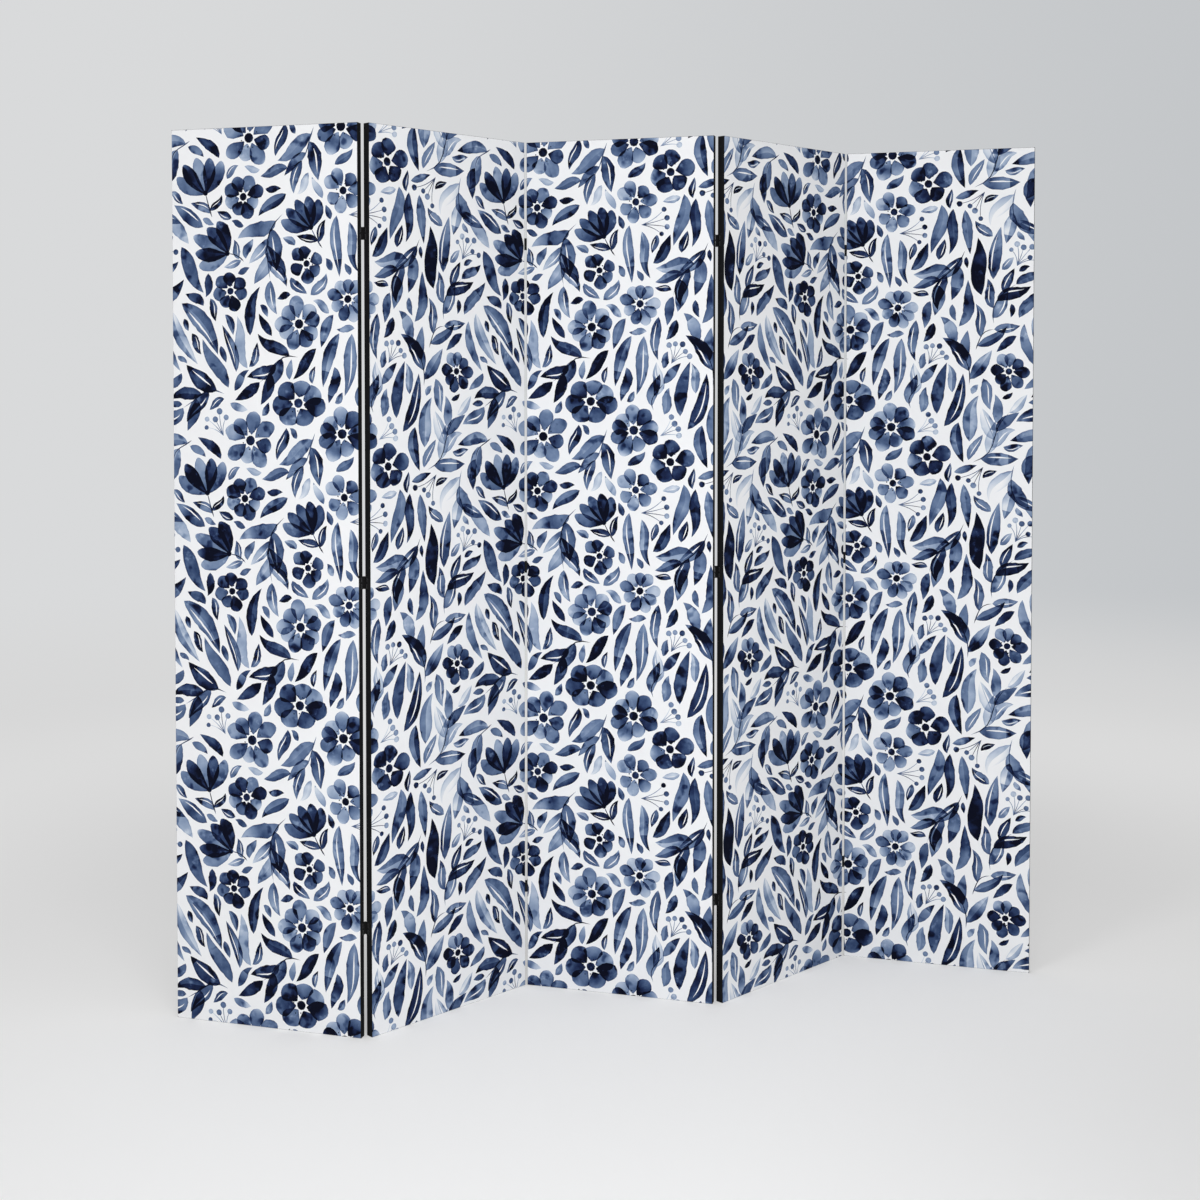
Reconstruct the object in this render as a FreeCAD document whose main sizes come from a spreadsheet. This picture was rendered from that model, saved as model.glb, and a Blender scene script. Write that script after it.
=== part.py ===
import FreeCAD, Part
import os
import Sketcher

# A folding screen of five tall panels that stands in a zigzag. Each panel is a pine
# stretcher frame with a printed canvas pulled round it and a plain cloth stapled over its
# back. Webbing straps, three to a fold, hinge each panel to the next. A strap is stapled
# to the sides of both panels and bends across the gap between them: behind the panels at
# a ridge, where the fold points at the viewer, and in front of them at a hollow.
#
# The screen stands on Z = 0. X runs to the right as seen from the printed side, Y runs
# away from the viewer, and the origin is on the floor under the middle of panel 3.
# Each piece is drawn in its own panel's frame, centred on the panel in X and Y, and the
# panel's placement then carries it to its place in the zigzag.

# Driving sizes: millimetres, degrees and counts.
SIZES = [
    ("panel_width", 400.0, "one panel, canvas included"),
    ("panel_height", 1780.0, "floor to top edge"),
    ("fold_half_angle", 30.0, "turn of a panel from the line of the screen"),
    ("canvas_thickness", 0.7, "primed canvas with its print"),
    ("canvas_return", 22.0, "canvas folded onto the back of the frame"),
    ("canvas_edge_radius", 1.2, "where the canvas turns round the frame"),
    ("cloth_thickness", 0.6, "cloth over the back"),
    ("cloth_inset", 4.0, "panel edge to the cloth's hem"),
    ("timber_depth", 16.0, "front to back of the frame's bars"),
    ("stile_width", 34.0, "upright bars"),
    ("rail_width", 34.0, "top and bottom bars"),
    ("cross_rail_width", 30.0, "bars across the middle"),
    ("cross_rail_count", 2.0, "bars across the middle of one panel"),
    ("cross_rail_setback", 3.0, "canvas side of the frame to a cross rail"),
    ("bevel_depth", 2.5, "fall of a bar's canvas side towards its inner edge"),
    ("bevel_lip", 6.0, "flat rim that carries the canvas"),
    ("stub_tenon_length", 14.0, "cross rail's tenon"),
    ("strap_count", 3.0, "straps to a fold"),
    ("strap_height", 25.0, "width of the webbing, which runs across the fold"),
    ("strap_thickness", 1.0, "webbing"),
    ("strap_end_distance", 212.0, "panel end to the middle of the nearest strap"),
    ("strap_leaf", 14.0, "fold axis to the cut end of a strap"),
    ("bend_inner_radius", 0.9, "inside of the strap's bend across the gap"),
    ("axis_standoff", 1.0, "panel's face to the fold axis"),
    ("wire_width", 0.9, "staple wire, along the surface"),
    ("wire_thickness", 0.5, "staple wire, off the surface"),
    ("strap_staple_crown", 9.0, "staple in a strap, outside its legs"),
    ("strap_staple_leg", 9.0, "its legs, from the strap's face"),
    ("strap_staple_setback", 8.5, "fold axis to the middle of the wire"),
    ("strap_staple_offset", 6.0, "middle of a strap to the middle of each staple"),
    ("cloth_staple_crown", 10.0, "staple in the back cloth, outside its legs"),
    ("cloth_staple_leg", 8.0, "its legs, from the cloth's face"),
    ("cloth_staple_inset", 12.0, "panel edge to the middle of the wire"),
    ("cloth_staple_end", 40.0, "panel end to the first staple down a side"),
    ("cloth_staple_corner", 80.0, "panel edge to the first staple along an end"),
    ("side_staple_count", 16.0, "staples down each side of the cloth"),
    ("end_staple_count", 4.0, "staples along each end of the cloth"),
]

PANELS = range(1, 6)
MIDDLE_PANEL = 3
SAME_PLACE = 1e-6

# Sizes that follow from the driving ones, as text for the expressions.
HALF_WIDTH = "(Sizes.panel_width / 2)"
HALF_THICKNESS = "(Sizes.canvas_thickness + (Sizes.timber_depth + Sizes.cloth_thickness) / 2)"
TIMBER_FRONT = f"(Sizes.canvas_thickness - {HALF_THICKNESS})"
TIMBER_BACK = f"({TIMBER_FRONT} + Sizes.timber_depth)"
CANVAS_BACK = f"({TIMBER_BACK} + Sizes.canvas_thickness)"
TIMBER_SIDE = f"({HALF_WIDTH} - Sizes.canvas_thickness)"
STILE_INSIDE = f"({TIMBER_SIDE} - Sizes.stile_width)"
TIMBER_FOOT = "Sizes.canvas_thickness"
TIMBER_TOP = "(Sizes.panel_height - Sizes.canvas_thickness)"
TENON_THICKNESS = "(Sizes.timber_depth / 3)"
TENON_FRONT = f"({TIMBER_FRONT} + {TENON_THICKNESS})"
TENON_BACK = f"({TENON_FRONT} + {TENON_THICKNESS})"
CROSS_RAIL_FRONT = f"({TIMBER_FRONT} + Sizes.cross_rail_setback)"
CROSS_RAIL_PITCH = "(Sizes.panel_height / (Sizes.cross_rail_count + 1))"
CROSS_RAIL_LOW = f"({CROSS_RAIL_PITCH} - Sizes.cross_rail_width / 2)"
CROSS_RAIL_HIGH = f"({CROSS_RAIL_PITCH} + Sizes.cross_rail_width / 2)"
CLOTH_BACK = f"({CANVAS_BACK} + Sizes.cloth_thickness)"
BEND_RADIUS = "(Sizes.bend_inner_radius + Sizes.strap_thickness)"
AXIS_X = f"({HALF_WIDTH} + {BEND_RADIUS})"
AXIS_Y = f"({HALF_THICKNESS} + Sizes.axis_standoff)"
PANEL_PITCH = (
    f"(2 * ({AXIS_X} * cos(Sizes.fold_half_angle) + {AXIS_Y} * sin(Sizes.fold_half_angle)))"
)
STRAP_FOOT = "(Sizes.strap_end_distance - Sizes.strap_height / 2)"
STRAP_SPAN = "(Sizes.panel_height - 2 * Sizes.strap_end_distance)"
STRAP_FACE = f"({HALF_WIDTH} + Sizes.strap_thickness)"

doc = FreeCAD.newDocument("folding_screen")


def make_sheet():
    """Lists the driving sizes, each with an alias and a note."""
    sheet = doc.addObject("Spreadsheet::Sheet", "Sizes")
    for row, (alias, value, note) in enumerate(SIZES, start=1):
        sheet.set(f"A{row}", alias)
        sheet.set(f"B{row}", str(value))
        sheet.set(f"C{row}", note)
        sheet.setAlias(f"B{row}", alias)
    doc.recompute()
    return sheet


SHEET = make_sheet()


def value_of(text):
    """Number that an expression on the sheet gives now."""
    return float(SHEET.evalExpression(text.replace("Sizes.", "")))


class Piece:
    """One kind of piece of one panel, as a body whose features follow the sheet."""

    def __init__(self, name, panel):
        self.body = doc.addObject("PartDesign::Body", name)
        self.body.Label = name
        self.body.AllowCompound = True
        # odd panels turn their right end towards the viewer, even ones away
        turn = FreeCAD.Vector(0, 0, -1 if panel % 2 else 1)
        angle = value_of("Sizes.fold_half_angle")
        self.body.Placement.Rotation = FreeCAD.Rotation(turn, angle)
        self.body.setExpression("Placement.Rotation.Angle", "Sizes.fold_half_angle")
        self.body.setExpression("Placement.Base.x", f"{panel - MIDDLE_PANEL} * {PANEL_PITCH}")

    def plane(self, role):
        """Finds one of the body's own origin planes."""
        return next(f for f in self.body.Origin.OriginFeatures if f.Role == role)

    def sketch(self, role, height, points):
        """Draws a closed outline on a plane held parallel to an origin plane.

        height is the expression of the distance between the planes, and points are pairs
        of expressions.
        """
        sketch = self.body.newObject("Sketcher::SketchObject", "Sketch")
        sketch.AttachmentSupport = (self.plane(role), [""])
        sketch.MapMode = "FlatFace"
        sketch.setExpression("AttachmentOffset.Base.z", height)
        self.draw_outline(sketch, points)
        return sketch

    def draw_outline(self, sketch, points):
        """Adds straight lines from corner to corner, each corner held by its expressions."""
        corners = [FreeCAD.Vector(value_of(x), value_of(y), 0) for x, y in points]
        first = sketch.GeometryCount
        for start, end in zip(corners, corners[1:] + corners[:1]):
            sketch.addGeometry(Part.LineSegment(start, end), False)
        count = len(points)
        for k in range(count):
            line, after = first + k, first + (k + 1) % count
            sketch.addConstraint(Sketcher.Constraint("Coincident", line, 2, after, 1))
        for k, (x, y) in enumerate(points):
            self.hold(sketch, first + k, x, y)

    def hold(self, sketch, line, x, y):
        """Fixes the start of a line to its two distances from the sketch's origin."""
        for kind, text in (("DistanceX", x), ("DistanceY", y)):
            fixed = Sketcher.Constraint(kind, -1, 1, line, 1, value_of(text))
            index = sketch.addConstraint(fixed)
            sketch.setExpression(f"Constraints[{index}]", text)

    def pad(self, sketch, length, reverse=False):
        """Raises a sketch into the body."""
        pad = self.body.newObject("PartDesign::Pad", "Pad")
        pad.Profile = sketch
        pad.setExpression("Length", length)
        pad.Reversed = reverse
        return self.grown(pad)

    def pocket(self, sketch, length=None, reverse=False):
        """Cuts a sketch out of the body, right through both ways where no length is given."""
        pocket = self.body.newObject("PartDesign::Pocket", "Pocket")
        pocket.Profile = sketch
        if length:
            pocket.setExpression("Length", length)
        else:
            pocket.Type = "ThroughAll"
            pocket.Midplane = True
        pocket.Reversed = reverse
        return self.shrunk(pocket)

    def pattern(self, originals, distance, count, cuts=False):
        """Repeats features up the Z axis, or the whole body where none are named."""
        pattern = self.body.newObject("PartDesign::LinearPattern", "Pattern")
        if originals:
            pattern.Originals = originals
        else:
            pattern.TransformMode = "Whole shape"
        axis = next(f for f in self.body.Origin.OriginFeatures if f.Role == "Z_Axis")
        pattern.Direction = (axis, [""])
        pattern.setExpression("Length", distance)
        pattern.setExpression("Occurrences", count)
        self.body.Tip = pattern
        return self.shrunk(pattern) if cuts else self.grown(pattern)

    def round_front(self, radius, front):
        """Rounds the edges that lie wholly in the plane y = front."""
        base = self.body.Tip
        names = [
            f"Edge{number}"
            for number, edge in enumerate(base.Shape.Edges, start=1)
            if all(abs(vertex.Point.y - front) < SAME_PLACE for vertex in edge.Vertexes)
        ]
        fillet = self.body.newObject("PartDesign::Fillet", "Fillet")
        fillet.Base = (base, names)
        fillet.setExpression("Radius", radius)
        return self.shrunk(fillet)

    def volume_before(self, feature):
        """Volume of the body just before a feature."""
        base = feature.BaseFeature
        return base.Shape.Volume if base else 0.0

    def grown(self, feature):
        """Makes sure that a feature has added material."""
        doc.recompute()
        if not feature.Shape.Volume > self.volume_before(feature):
            raise ValueError(f"{self.body.Label}: {feature.Name} adds nothing")
        return feature

    def shrunk(self, feature):
        """Makes sure that a feature has taken material away."""
        doc.recompute()
        if not feature.Shape.Volume < self.volume_before(feature):
            raise ValueError(f"{self.body.Label}: {feature.Name} takes nothing away")
        return feature


def rectangle(left, right, low, high):
    """Corners of an upright rectangle, each side given by an expression."""
    return [(left, low), (right, low), (right, high), (left, high)]


def minus(text):
    """Expression for a value turned about zero."""
    return f"(-{text})"


def side_of(text, side):
    """Expression for a place on the panel's right, or mirrored to its left."""
    return text if side == "right" else minus(text)


def make_stile(panel, side):
    """Upright bar: bevelled on its canvas side, slotted at both ends, mortised between."""
    piece = Piece(f"panel_{panel}_{side}_stile", panel)
    outline = [
        (side_of(TIMBER_SIDE, side), TIMBER_FRONT),
        (side_of(TIMBER_SIDE, side), TIMBER_BACK),
        (side_of(STILE_INSIDE, side), TIMBER_BACK),
        (side_of(STILE_INSIDE, side), f"({TIMBER_FRONT} + Sizes.bevel_depth)"),
        (side_of(f"({TIMBER_SIDE} - Sizes.bevel_lip)", side), TIMBER_FRONT),
    ]
    height = f"({TIMBER_TOP} - {TIMBER_FOOT})"
    piece.pad(piece.sketch("XY_Plane", TIMBER_FOOT, outline), height)
    # open slots at the foot and the head take the rails' tenons
    for low, high in (
        (TIMBER_FOOT, f"({TIMBER_FOOT} + Sizes.rail_width)"),
        (f"({TIMBER_TOP} - Sizes.rail_width)", TIMBER_TOP),
    ):
        slot = rectangle(TENON_FRONT, TENON_BACK, low, high)
        piece.pocket(piece.sketch("YZ_Plane", "0", slot))
    # blind mortises take the cross rails' stub tenons
    mortise = rectangle(TENON_FRONT, TENON_BACK, CROSS_RAIL_LOW, CROSS_RAIL_HIGH)
    inside = piece.sketch("YZ_Plane", side_of(STILE_INSIDE, side), mortise)
    hole = piece.pocket(inside, "Sizes.stub_tenon_length", reverse=side == "right")
    span = f"({CROSS_RAIL_PITCH} * (Sizes.cross_rail_count - 1))"
    piece.pattern([hole], span, "Sizes.cross_rail_count", cuts=True)


def make_end_rail(panel, name, low, high, outer_is_high):
    """Top or bottom bar: shoulders between the stiles, a tenon right through each."""
    piece = Piece(f"panel_{panel}_{name}_rail", panel)
    outer, inner = (high, low) if outer_is_high else (low, high)
    lip = f"({outer} - Sizes.bevel_lip)" if outer_is_high else f"({outer} + Sizes.bevel_lip)"
    outline = [
        (TIMBER_FRONT, outer),
        (TIMBER_BACK, outer),
        (TIMBER_BACK, inner),
        (f"({TIMBER_FRONT} + Sizes.bevel_depth)", inner),
        (TIMBER_FRONT, lip),
    ]
    body = piece.sketch("YZ_Plane", minus(STILE_INSIDE), outline)
    piece.pad(body, f"(2 * {STILE_INSIDE})")
    tenon = rectangle(TENON_FRONT, TENON_BACK, low, high)
    ends = piece.sketch("YZ_Plane", minus(TIMBER_SIDE), tenon)
    piece.pad(ends, f"(2 * {TIMBER_SIDE})")


def make_cross_rails(panel):
    """Bars across the middle, set back from the canvas, with stub tenons."""
    piece = Piece(f"panel_{panel}_cross_rails", panel)
    outline = rectangle(CROSS_RAIL_FRONT, TIMBER_BACK, CROSS_RAIL_LOW, CROSS_RAIL_HIGH)
    body = piece.sketch("YZ_Plane", minus(STILE_INSIDE), outline)
    piece.pad(body, f"(2 * {STILE_INSIDE})")
    reach = f"({STILE_INSIDE} + Sizes.stub_tenon_length)"
    tenon = rectangle(TENON_FRONT, TENON_BACK, CROSS_RAIL_LOW, CROSS_RAIL_HIGH)
    piece.pad(piece.sketch("YZ_Plane", minus(reach), tenon), f"(2 * {reach})")
    span = f"({CROSS_RAIL_PITCH} * (Sizes.cross_rail_count - 1))"
    piece.pattern([], span, "Sizes.cross_rail_count")


def make_canvas(panel):
    """Printed canvas: a front, four sides, and a return on the back of the frame."""
    piece = Piece(f"panel_{panel}_print_canvas", panel)
    front = rectangle(minus(HALF_WIDTH), HALF_WIDTH, "0", "Sizes.panel_height")
    # the XZ plane faces the viewer, so its heights count towards -Y
    plane = piece.sketch("XZ_Plane", HALF_THICKNESS, front)
    piece.pad(plane, f"({CANVAS_BACK} + {HALF_THICKNESS})", reverse=True)
    front_face = -value_of(HALF_THICKNESS)
    piece.round_front("Sizes.canvas_edge_radius", front_face)
    hollow = rectangle(minus(TIMBER_SIDE), TIMBER_SIDE, TIMBER_FOOT, TIMBER_TOP)
    inside = piece.sketch("XZ_Plane", minus(CANVAS_BACK), hollow)
    piece.pocket(inside, f"({CANVAS_BACK} - {TIMBER_FRONT})", reverse=True)
    # the return closes the hollow again round its rim
    edge = "Sizes.canvas_return"
    rim = piece.sketch("XZ_Plane", minus(CANVAS_BACK), hollow)
    opening = rectangle(
        f"({edge} - {HALF_WIDTH})",
        f"({HALF_WIDTH} - {edge})",
        edge,
        f"(Sizes.panel_height - {edge})",
    )
    piece.draw_outline(rim, opening)
    piece.pad(rim, "Sizes.canvas_thickness")


def make_back_cloth(panel):
    """Plain cloth over the back, hemmed a little inside the panel's edges."""
    piece = Piece(f"panel_{panel}_back_cloth", panel)
    side = f"({HALF_WIDTH} - Sizes.cloth_inset)"
    top = "(Sizes.panel_height - Sizes.cloth_inset)"
    cloth = rectangle(minus(side), side, "Sizes.cloth_inset", top)
    plane = piece.sketch("XZ_Plane", minus(CANVAS_BACK), cloth)
    piece.pad(plane, "Sizes.cloth_thickness", reverse=True)


def make_strap_leaves(name, panel, side, ridge):
    """Stapled ends of a fold's straps, flat on the side of one panel."""
    piece = Piece(name, panel)
    near, far = side_of(HALF_WIDTH, side), side_of(STRAP_FACE, side)
    start = AXIS_Y if ridge else minus(AXIS_Y)
    end = f"({AXIS_Y} - Sizes.strap_leaf)" if ridge else f"(Sizes.strap_leaf - {AXIS_Y})"
    flat = piece.sketch("XY_Plane", STRAP_FOOT, rectangle(near, far, start, end))
    piece.pad(flat, "Sizes.strap_height")
    piece.pattern([], STRAP_SPAN, "Sizes.strap_count")


def make_strap_bends(name, panel, side, ridge):
    """Free middles of a fold's straps, each a round bend about the fold axis."""
    piece = Piece(name, panel)
    inner, outer = "Sizes.bend_inner_radius", BEND_RADIUS
    if side == "right":
        inner, outer = minus(inner), minus(outer)
    top = f"({STRAP_FOOT} + Sizes.strap_height)"
    band = rectangle(inner, outer, STRAP_FOOT, top)
    # the XZ plane faces the viewer, so its distances count towards -Y
    section = piece.sketch("XZ_Plane", minus(AXIS_Y) if ridge else AXIS_Y, band)
    section.setExpression("AttachmentOffset.Base.x", side_of(AXIS_X, side))
    bend = piece.body.newObject("PartDesign::Revolution", "Bend")
    bend.Profile = section
    bend.ReferenceAxis = (section, ["V_Axis"])
    bend.setExpression("Angle", "180 - 2 * Sizes.fold_half_angle")
    bend.Reversed = (side == "right") == ridge
    piece.grown(bend)
    piece.pattern([], STRAP_SPAN, "Sizes.strap_count")


def staple_outline(face, leg, middle, crown, side="right"):
    """Corners of a staple seen along its surface: a crown on it and two legs under it.

    face is how far the surface lies from the middle of the panel, on the given side,
    and middle is the place of the crown's middle along the surface.
    """
    top = side_of(f"({face} + Sizes.wire_thickness)", side)
    base = side_of(face, side)
    end = side_of(f"({face} - {leg})", side)
    half = f"({crown} / 2)"
    inner = f"({half} - Sizes.wire_width)"
    return [
        (top, f"({middle} - {half})"),
        (top, f"({middle} + {half})"),
        (end, f"({middle} + {half})"),
        (end, f"({middle} + {inner})"),
        (base, f"({middle} + {inner})"),
        (base, f"({middle} - {inner})"),
        (end, f"({middle} - {inner})"),
        (end, f"({middle} - {half})"),
    ]


def make_strap_staples(panel, sides):
    """Staples that hold the straps' ends to the sides of one panel, two to each end."""
    piece = Piece(f"panel_{panel}_strap_staples", panel)
    leg, crown = "Sizes.strap_staple_leg", "Sizes.strap_staple_crown"
    middle = "(Sizes.strap_end_distance - Sizes.strap_staple_offset)"
    line = f"({AXIS_Y} - Sizes.strap_staple_setback)"
    for side, ridge in sides:
        outline = staple_outline(STRAP_FACE, leg, middle, crown, side)
        # heights of a sketch on the XZ plane count towards -Y
        start = f"(-({line if ridge else minus(line)}) - Sizes.wire_width / 2)"
        first = piece.pad(piece.sketch("XZ_Plane", start, outline), "Sizes.wire_width")
        grid = piece.pattern([first], "2 * Sizes.strap_staple_offset", "2")
        grid.Direction2 = grid.Direction
        grid.setExpression("Length2", STRAP_SPAN)
        grid.setExpression("Occurrences2", "Sizes.strap_count")
        piece.grown(grid)


def make_cloth_staples(panel):
    """Staples through the back cloth and the canvas under it, all round the frame."""
    piece = Piece(f"panel_{panel}_cloth_staples", panel)
    leg, crown = "Sizes.cloth_staple_leg", "Sizes.cloth_staple_crown"
    inset = "Sizes.cloth_staple_inset"
    width, height = "Sizes.panel_width", "Sizes.panel_height"
    # down the sides
    outline = staple_outline(CLOTH_BACK, leg, "Sizes.cloth_staple_end", crown)
    line = f"({inset} - {HALF_WIDTH} - Sizes.wire_width / 2)"
    first = piece.pad(piece.sketch("YZ_Plane", line, outline), "Sizes.wire_width")
    span = f"({height} - 2 * Sizes.cloth_staple_end)"
    sides = piece.pattern([first], span, "Sizes.side_staple_count")
    sides.Direction2 = (piece.plane("X_Axis"), [""])
    sides.setExpression("Length2", f"({width} - 2 * {inset})")
    sides.Occurrences2 = 2
    piece.grown(sides)
    # along the ends
    corner = f"(Sizes.cloth_staple_corner - {HALF_WIDTH})"
    flat = [(across, out) for out, across in staple_outline(CLOTH_BACK, leg, corner, crown)]
    line = f"({inset} - Sizes.wire_width / 2)"
    first = piece.pad(piece.sketch("XY_Plane", line, flat), "Sizes.wire_width")
    span = f"({height} - 2 * {inset})"
    ends = piece.pattern([first], span, "2")
    ends.Direction2 = (piece.plane("X_Axis"), [""])
    ends.setExpression("Length2", f"({width} - 2 * Sizes.cloth_staple_corner)")
    ends.setExpression("Occurrences2", "Sizes.end_staple_count")
    piece.grown(ends)


def folds_of(panel):
    """Sides of a panel that carry straps, each with whether its fold is a ridge."""
    sides = []
    if panel != PANELS[0]:
        sides.append(("left", panel % 2 == 0))
    if panel != PANELS[-1]:
        sides.append(("right", panel % 2 == 1))
    return sides


def make_panel(panel):
    """Frame, canvas and back cloth of one panel."""
    for side in ("left", "right"):
        make_stile(panel, side)
    foot = (TIMBER_FOOT, f"({TIMBER_FOOT} + Sizes.rail_width)")
    head = (f"({TIMBER_TOP} - Sizes.rail_width)", TIMBER_TOP)
    make_end_rail(panel, "bottom", *foot, outer_is_high=False)
    make_end_rail(panel, "top", *head, outer_is_high=True)
    make_cross_rails(panel)
    make_canvas(panel)
    make_back_cloth(panel)
    make_cloth_staples(panel)
    make_strap_staples(panel, folds_of(panel))


def make_fold(left):
    """Three straps between one panel and the next to its right."""
    right = left + 1
    ridge = left % 2 == 1
    fold = f"fold_{left}_{right}"
    make_strap_leaves(f"{fold}_straps_on_panel_{left}", left, "right", ridge)
    make_strap_leaves(f"{fold}_straps_on_panel_{right}", right, "left", ridge)
    # the bends are drawn with the panel nearer the middle of the screen
    keeper, side = (left, "right") if left >= MIDDLE_PANEL else (right, "left")
    make_strap_bends(f"{fold}_strap_bends", keeper, side, ridge)


def write_pieces():
    """Checks every object and writes each piece to its own file."""
    doc.recompute()
    for item in doc.Objects:
        if {"Invalid", "Error"} & set(item.State):
            raise ValueError(f"{item.Label} failed: {item.State}")
    pieces = [item for item in doc.Objects if item.isDerivedFrom("PartDesign::Body")]
    for piece in pieces:
        if piece.Shape.isNull() or not piece.Shape.isValid():
            raise ValueError(f"{piece.Label} has no valid shape")
    os.makedirs("parts", exist_ok=True)
    for piece in pieces:
        piece.Shape.exportStep(f"parts/{piece.Label}.step")
    print(len(pieces), "pieces written")


for number in PANELS:
    make_panel(number)
for number in list(PANELS)[:-1]:
    make_fold(number)
write_pieces()
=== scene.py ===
"""Folding screen with five canvas panels: its cloths, straps, finishes, floor, light and camera.

The screen stands on Z = 0 with its print facing -Y. Each panel's pieces are shaped in the
panel's own upright frame, centred on the panel, and then carried to its place in the zigzag.
"""

from __future__ import annotations

import logging
import math
from dataclasses import dataclass, field, replace
from enum import Enum
from functools import cached_property
from typing import Any, Callable, Iterator, Sequence, Union

import bmesh
import bpy
import numpy as np
from mathutils import Matrix, Vector
from mathutils.geometry import delaunay_2d_cdt

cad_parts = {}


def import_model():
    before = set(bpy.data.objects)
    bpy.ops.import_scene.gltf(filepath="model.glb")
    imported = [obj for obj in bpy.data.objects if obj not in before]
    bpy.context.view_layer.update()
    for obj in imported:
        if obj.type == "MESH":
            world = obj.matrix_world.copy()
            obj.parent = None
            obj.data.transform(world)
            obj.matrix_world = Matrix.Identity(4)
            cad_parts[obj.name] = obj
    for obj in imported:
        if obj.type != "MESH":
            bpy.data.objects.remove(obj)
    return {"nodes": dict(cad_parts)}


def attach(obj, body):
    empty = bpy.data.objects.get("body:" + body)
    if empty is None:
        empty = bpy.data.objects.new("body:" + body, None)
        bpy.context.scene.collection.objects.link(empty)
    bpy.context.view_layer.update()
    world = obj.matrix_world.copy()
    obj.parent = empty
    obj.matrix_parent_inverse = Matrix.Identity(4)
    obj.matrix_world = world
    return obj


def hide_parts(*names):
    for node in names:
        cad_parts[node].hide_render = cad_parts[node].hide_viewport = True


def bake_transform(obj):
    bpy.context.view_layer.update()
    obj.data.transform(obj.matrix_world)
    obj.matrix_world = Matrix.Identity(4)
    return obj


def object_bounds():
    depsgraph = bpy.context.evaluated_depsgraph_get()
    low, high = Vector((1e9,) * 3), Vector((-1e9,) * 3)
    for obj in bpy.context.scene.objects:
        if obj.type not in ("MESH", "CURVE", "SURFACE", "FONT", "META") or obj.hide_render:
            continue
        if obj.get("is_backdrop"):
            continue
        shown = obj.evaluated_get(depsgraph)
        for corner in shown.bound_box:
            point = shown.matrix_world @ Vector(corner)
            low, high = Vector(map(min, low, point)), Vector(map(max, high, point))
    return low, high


LOG = logging.getLogger("folding_screen")
MM = 0.001
QUARTER = math.pi / 2

Range = tuple[float, float]
Point = tuple[float, float, float]


def from_screen(red: int, green: int, blue: int) -> tuple[float, float, float, float]:
    """Turns a colour as a screen shows it, 0 to 255, into the light it stands for.

    Args:
        red: Red on the screen.
        green: Green on the screen.
        blue: Blue on the screen.

    Returns:
        The colour as linear red, green, blue and a full alpha.
    """

    def linear(value: int) -> float:
        """Light that one screen value stands for, by the sRGB curve."""
        share = value / 255
        return share / 12.92 if share <= 0.04045 else ((share + 0.055) / 1.055) ** 2.4

    return linear(red), linear(green), linear(blue), 1.0


def put_in_scene(name: str, data: bpy.types.ID) -> bpy.types.Object:
    """Makes an object of a mesh, a light or a camera, at the origin of the scene.

    Args:
        name: The object's name.
        data: What it shows.

    Returns:
        The object.
    """
    thing = bpy.data.objects.new(name, data)
    bpy.context.scene.collection.objects.link(thing)
    return thing


@dataclass(frozen=True)
class ScreenSizes:
    """Sizes that the screen's pieces share, in metres and radians."""

    panel_count: int = 5
    width: float = 400 * MM
    height: float = 1780 * MM
    half_angle: float = math.radians(30)
    canvas: float = 0.7 * MM
    canvas_return: float = 22 * MM
    cloth: float = 0.6 * MM
    timber_depth: float = 16 * MM
    strap_thickness: float = 1.0 * MM
    bend_inner_radius: float = 0.9 * MM
    axis_standoff: float = 1.0 * MM

    @property
    def thickness(self) -> float:
        """Whole panel, front to back."""
        return 2 * self.canvas + self.timber_depth + self.cloth

    @property
    def axis_x(self) -> float:
        """Panel's middle to a fold's axis, along the panel."""
        return self.width / 2 + self.bend_inner_radius + self.strap_thickness

    @property
    def axis_y(self) -> float:
        """Panel's middle plane to a fold's axis."""
        return self.thickness / 2 + self.axis_standoff

    @property
    def pitch(self) -> float:
        """One panel's middle to the next."""
        along, off = math.cos(self.half_angle), math.sin(self.half_angle)
        return 2 * (self.axis_x * along + self.axis_y * off)

    @property
    def panels(self) -> range:
        """Panel numbers, from the left."""
        return range(1, self.panel_count + 1)

    @property
    def middle(self) -> int:
        """Number of the middle panel."""
        return (self.panel_count + 1) // 2

    def placement(self, panel: int) -> Matrix:
        """Carries a panel's own frame to its place in the zigzag.

        Args:
            panel: The panel's number.

        Returns:
            The turn about Z and the shift along X.
        """
        turn = -self.half_angle if panel % 2 else self.half_angle
        shift = Matrix.Translation(((panel - self.middle) * self.pitch, 0, 0))
        return shift @ Matrix.Rotation(turn, 4, "Z")


Number = Union[float, "Signal"]


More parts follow.
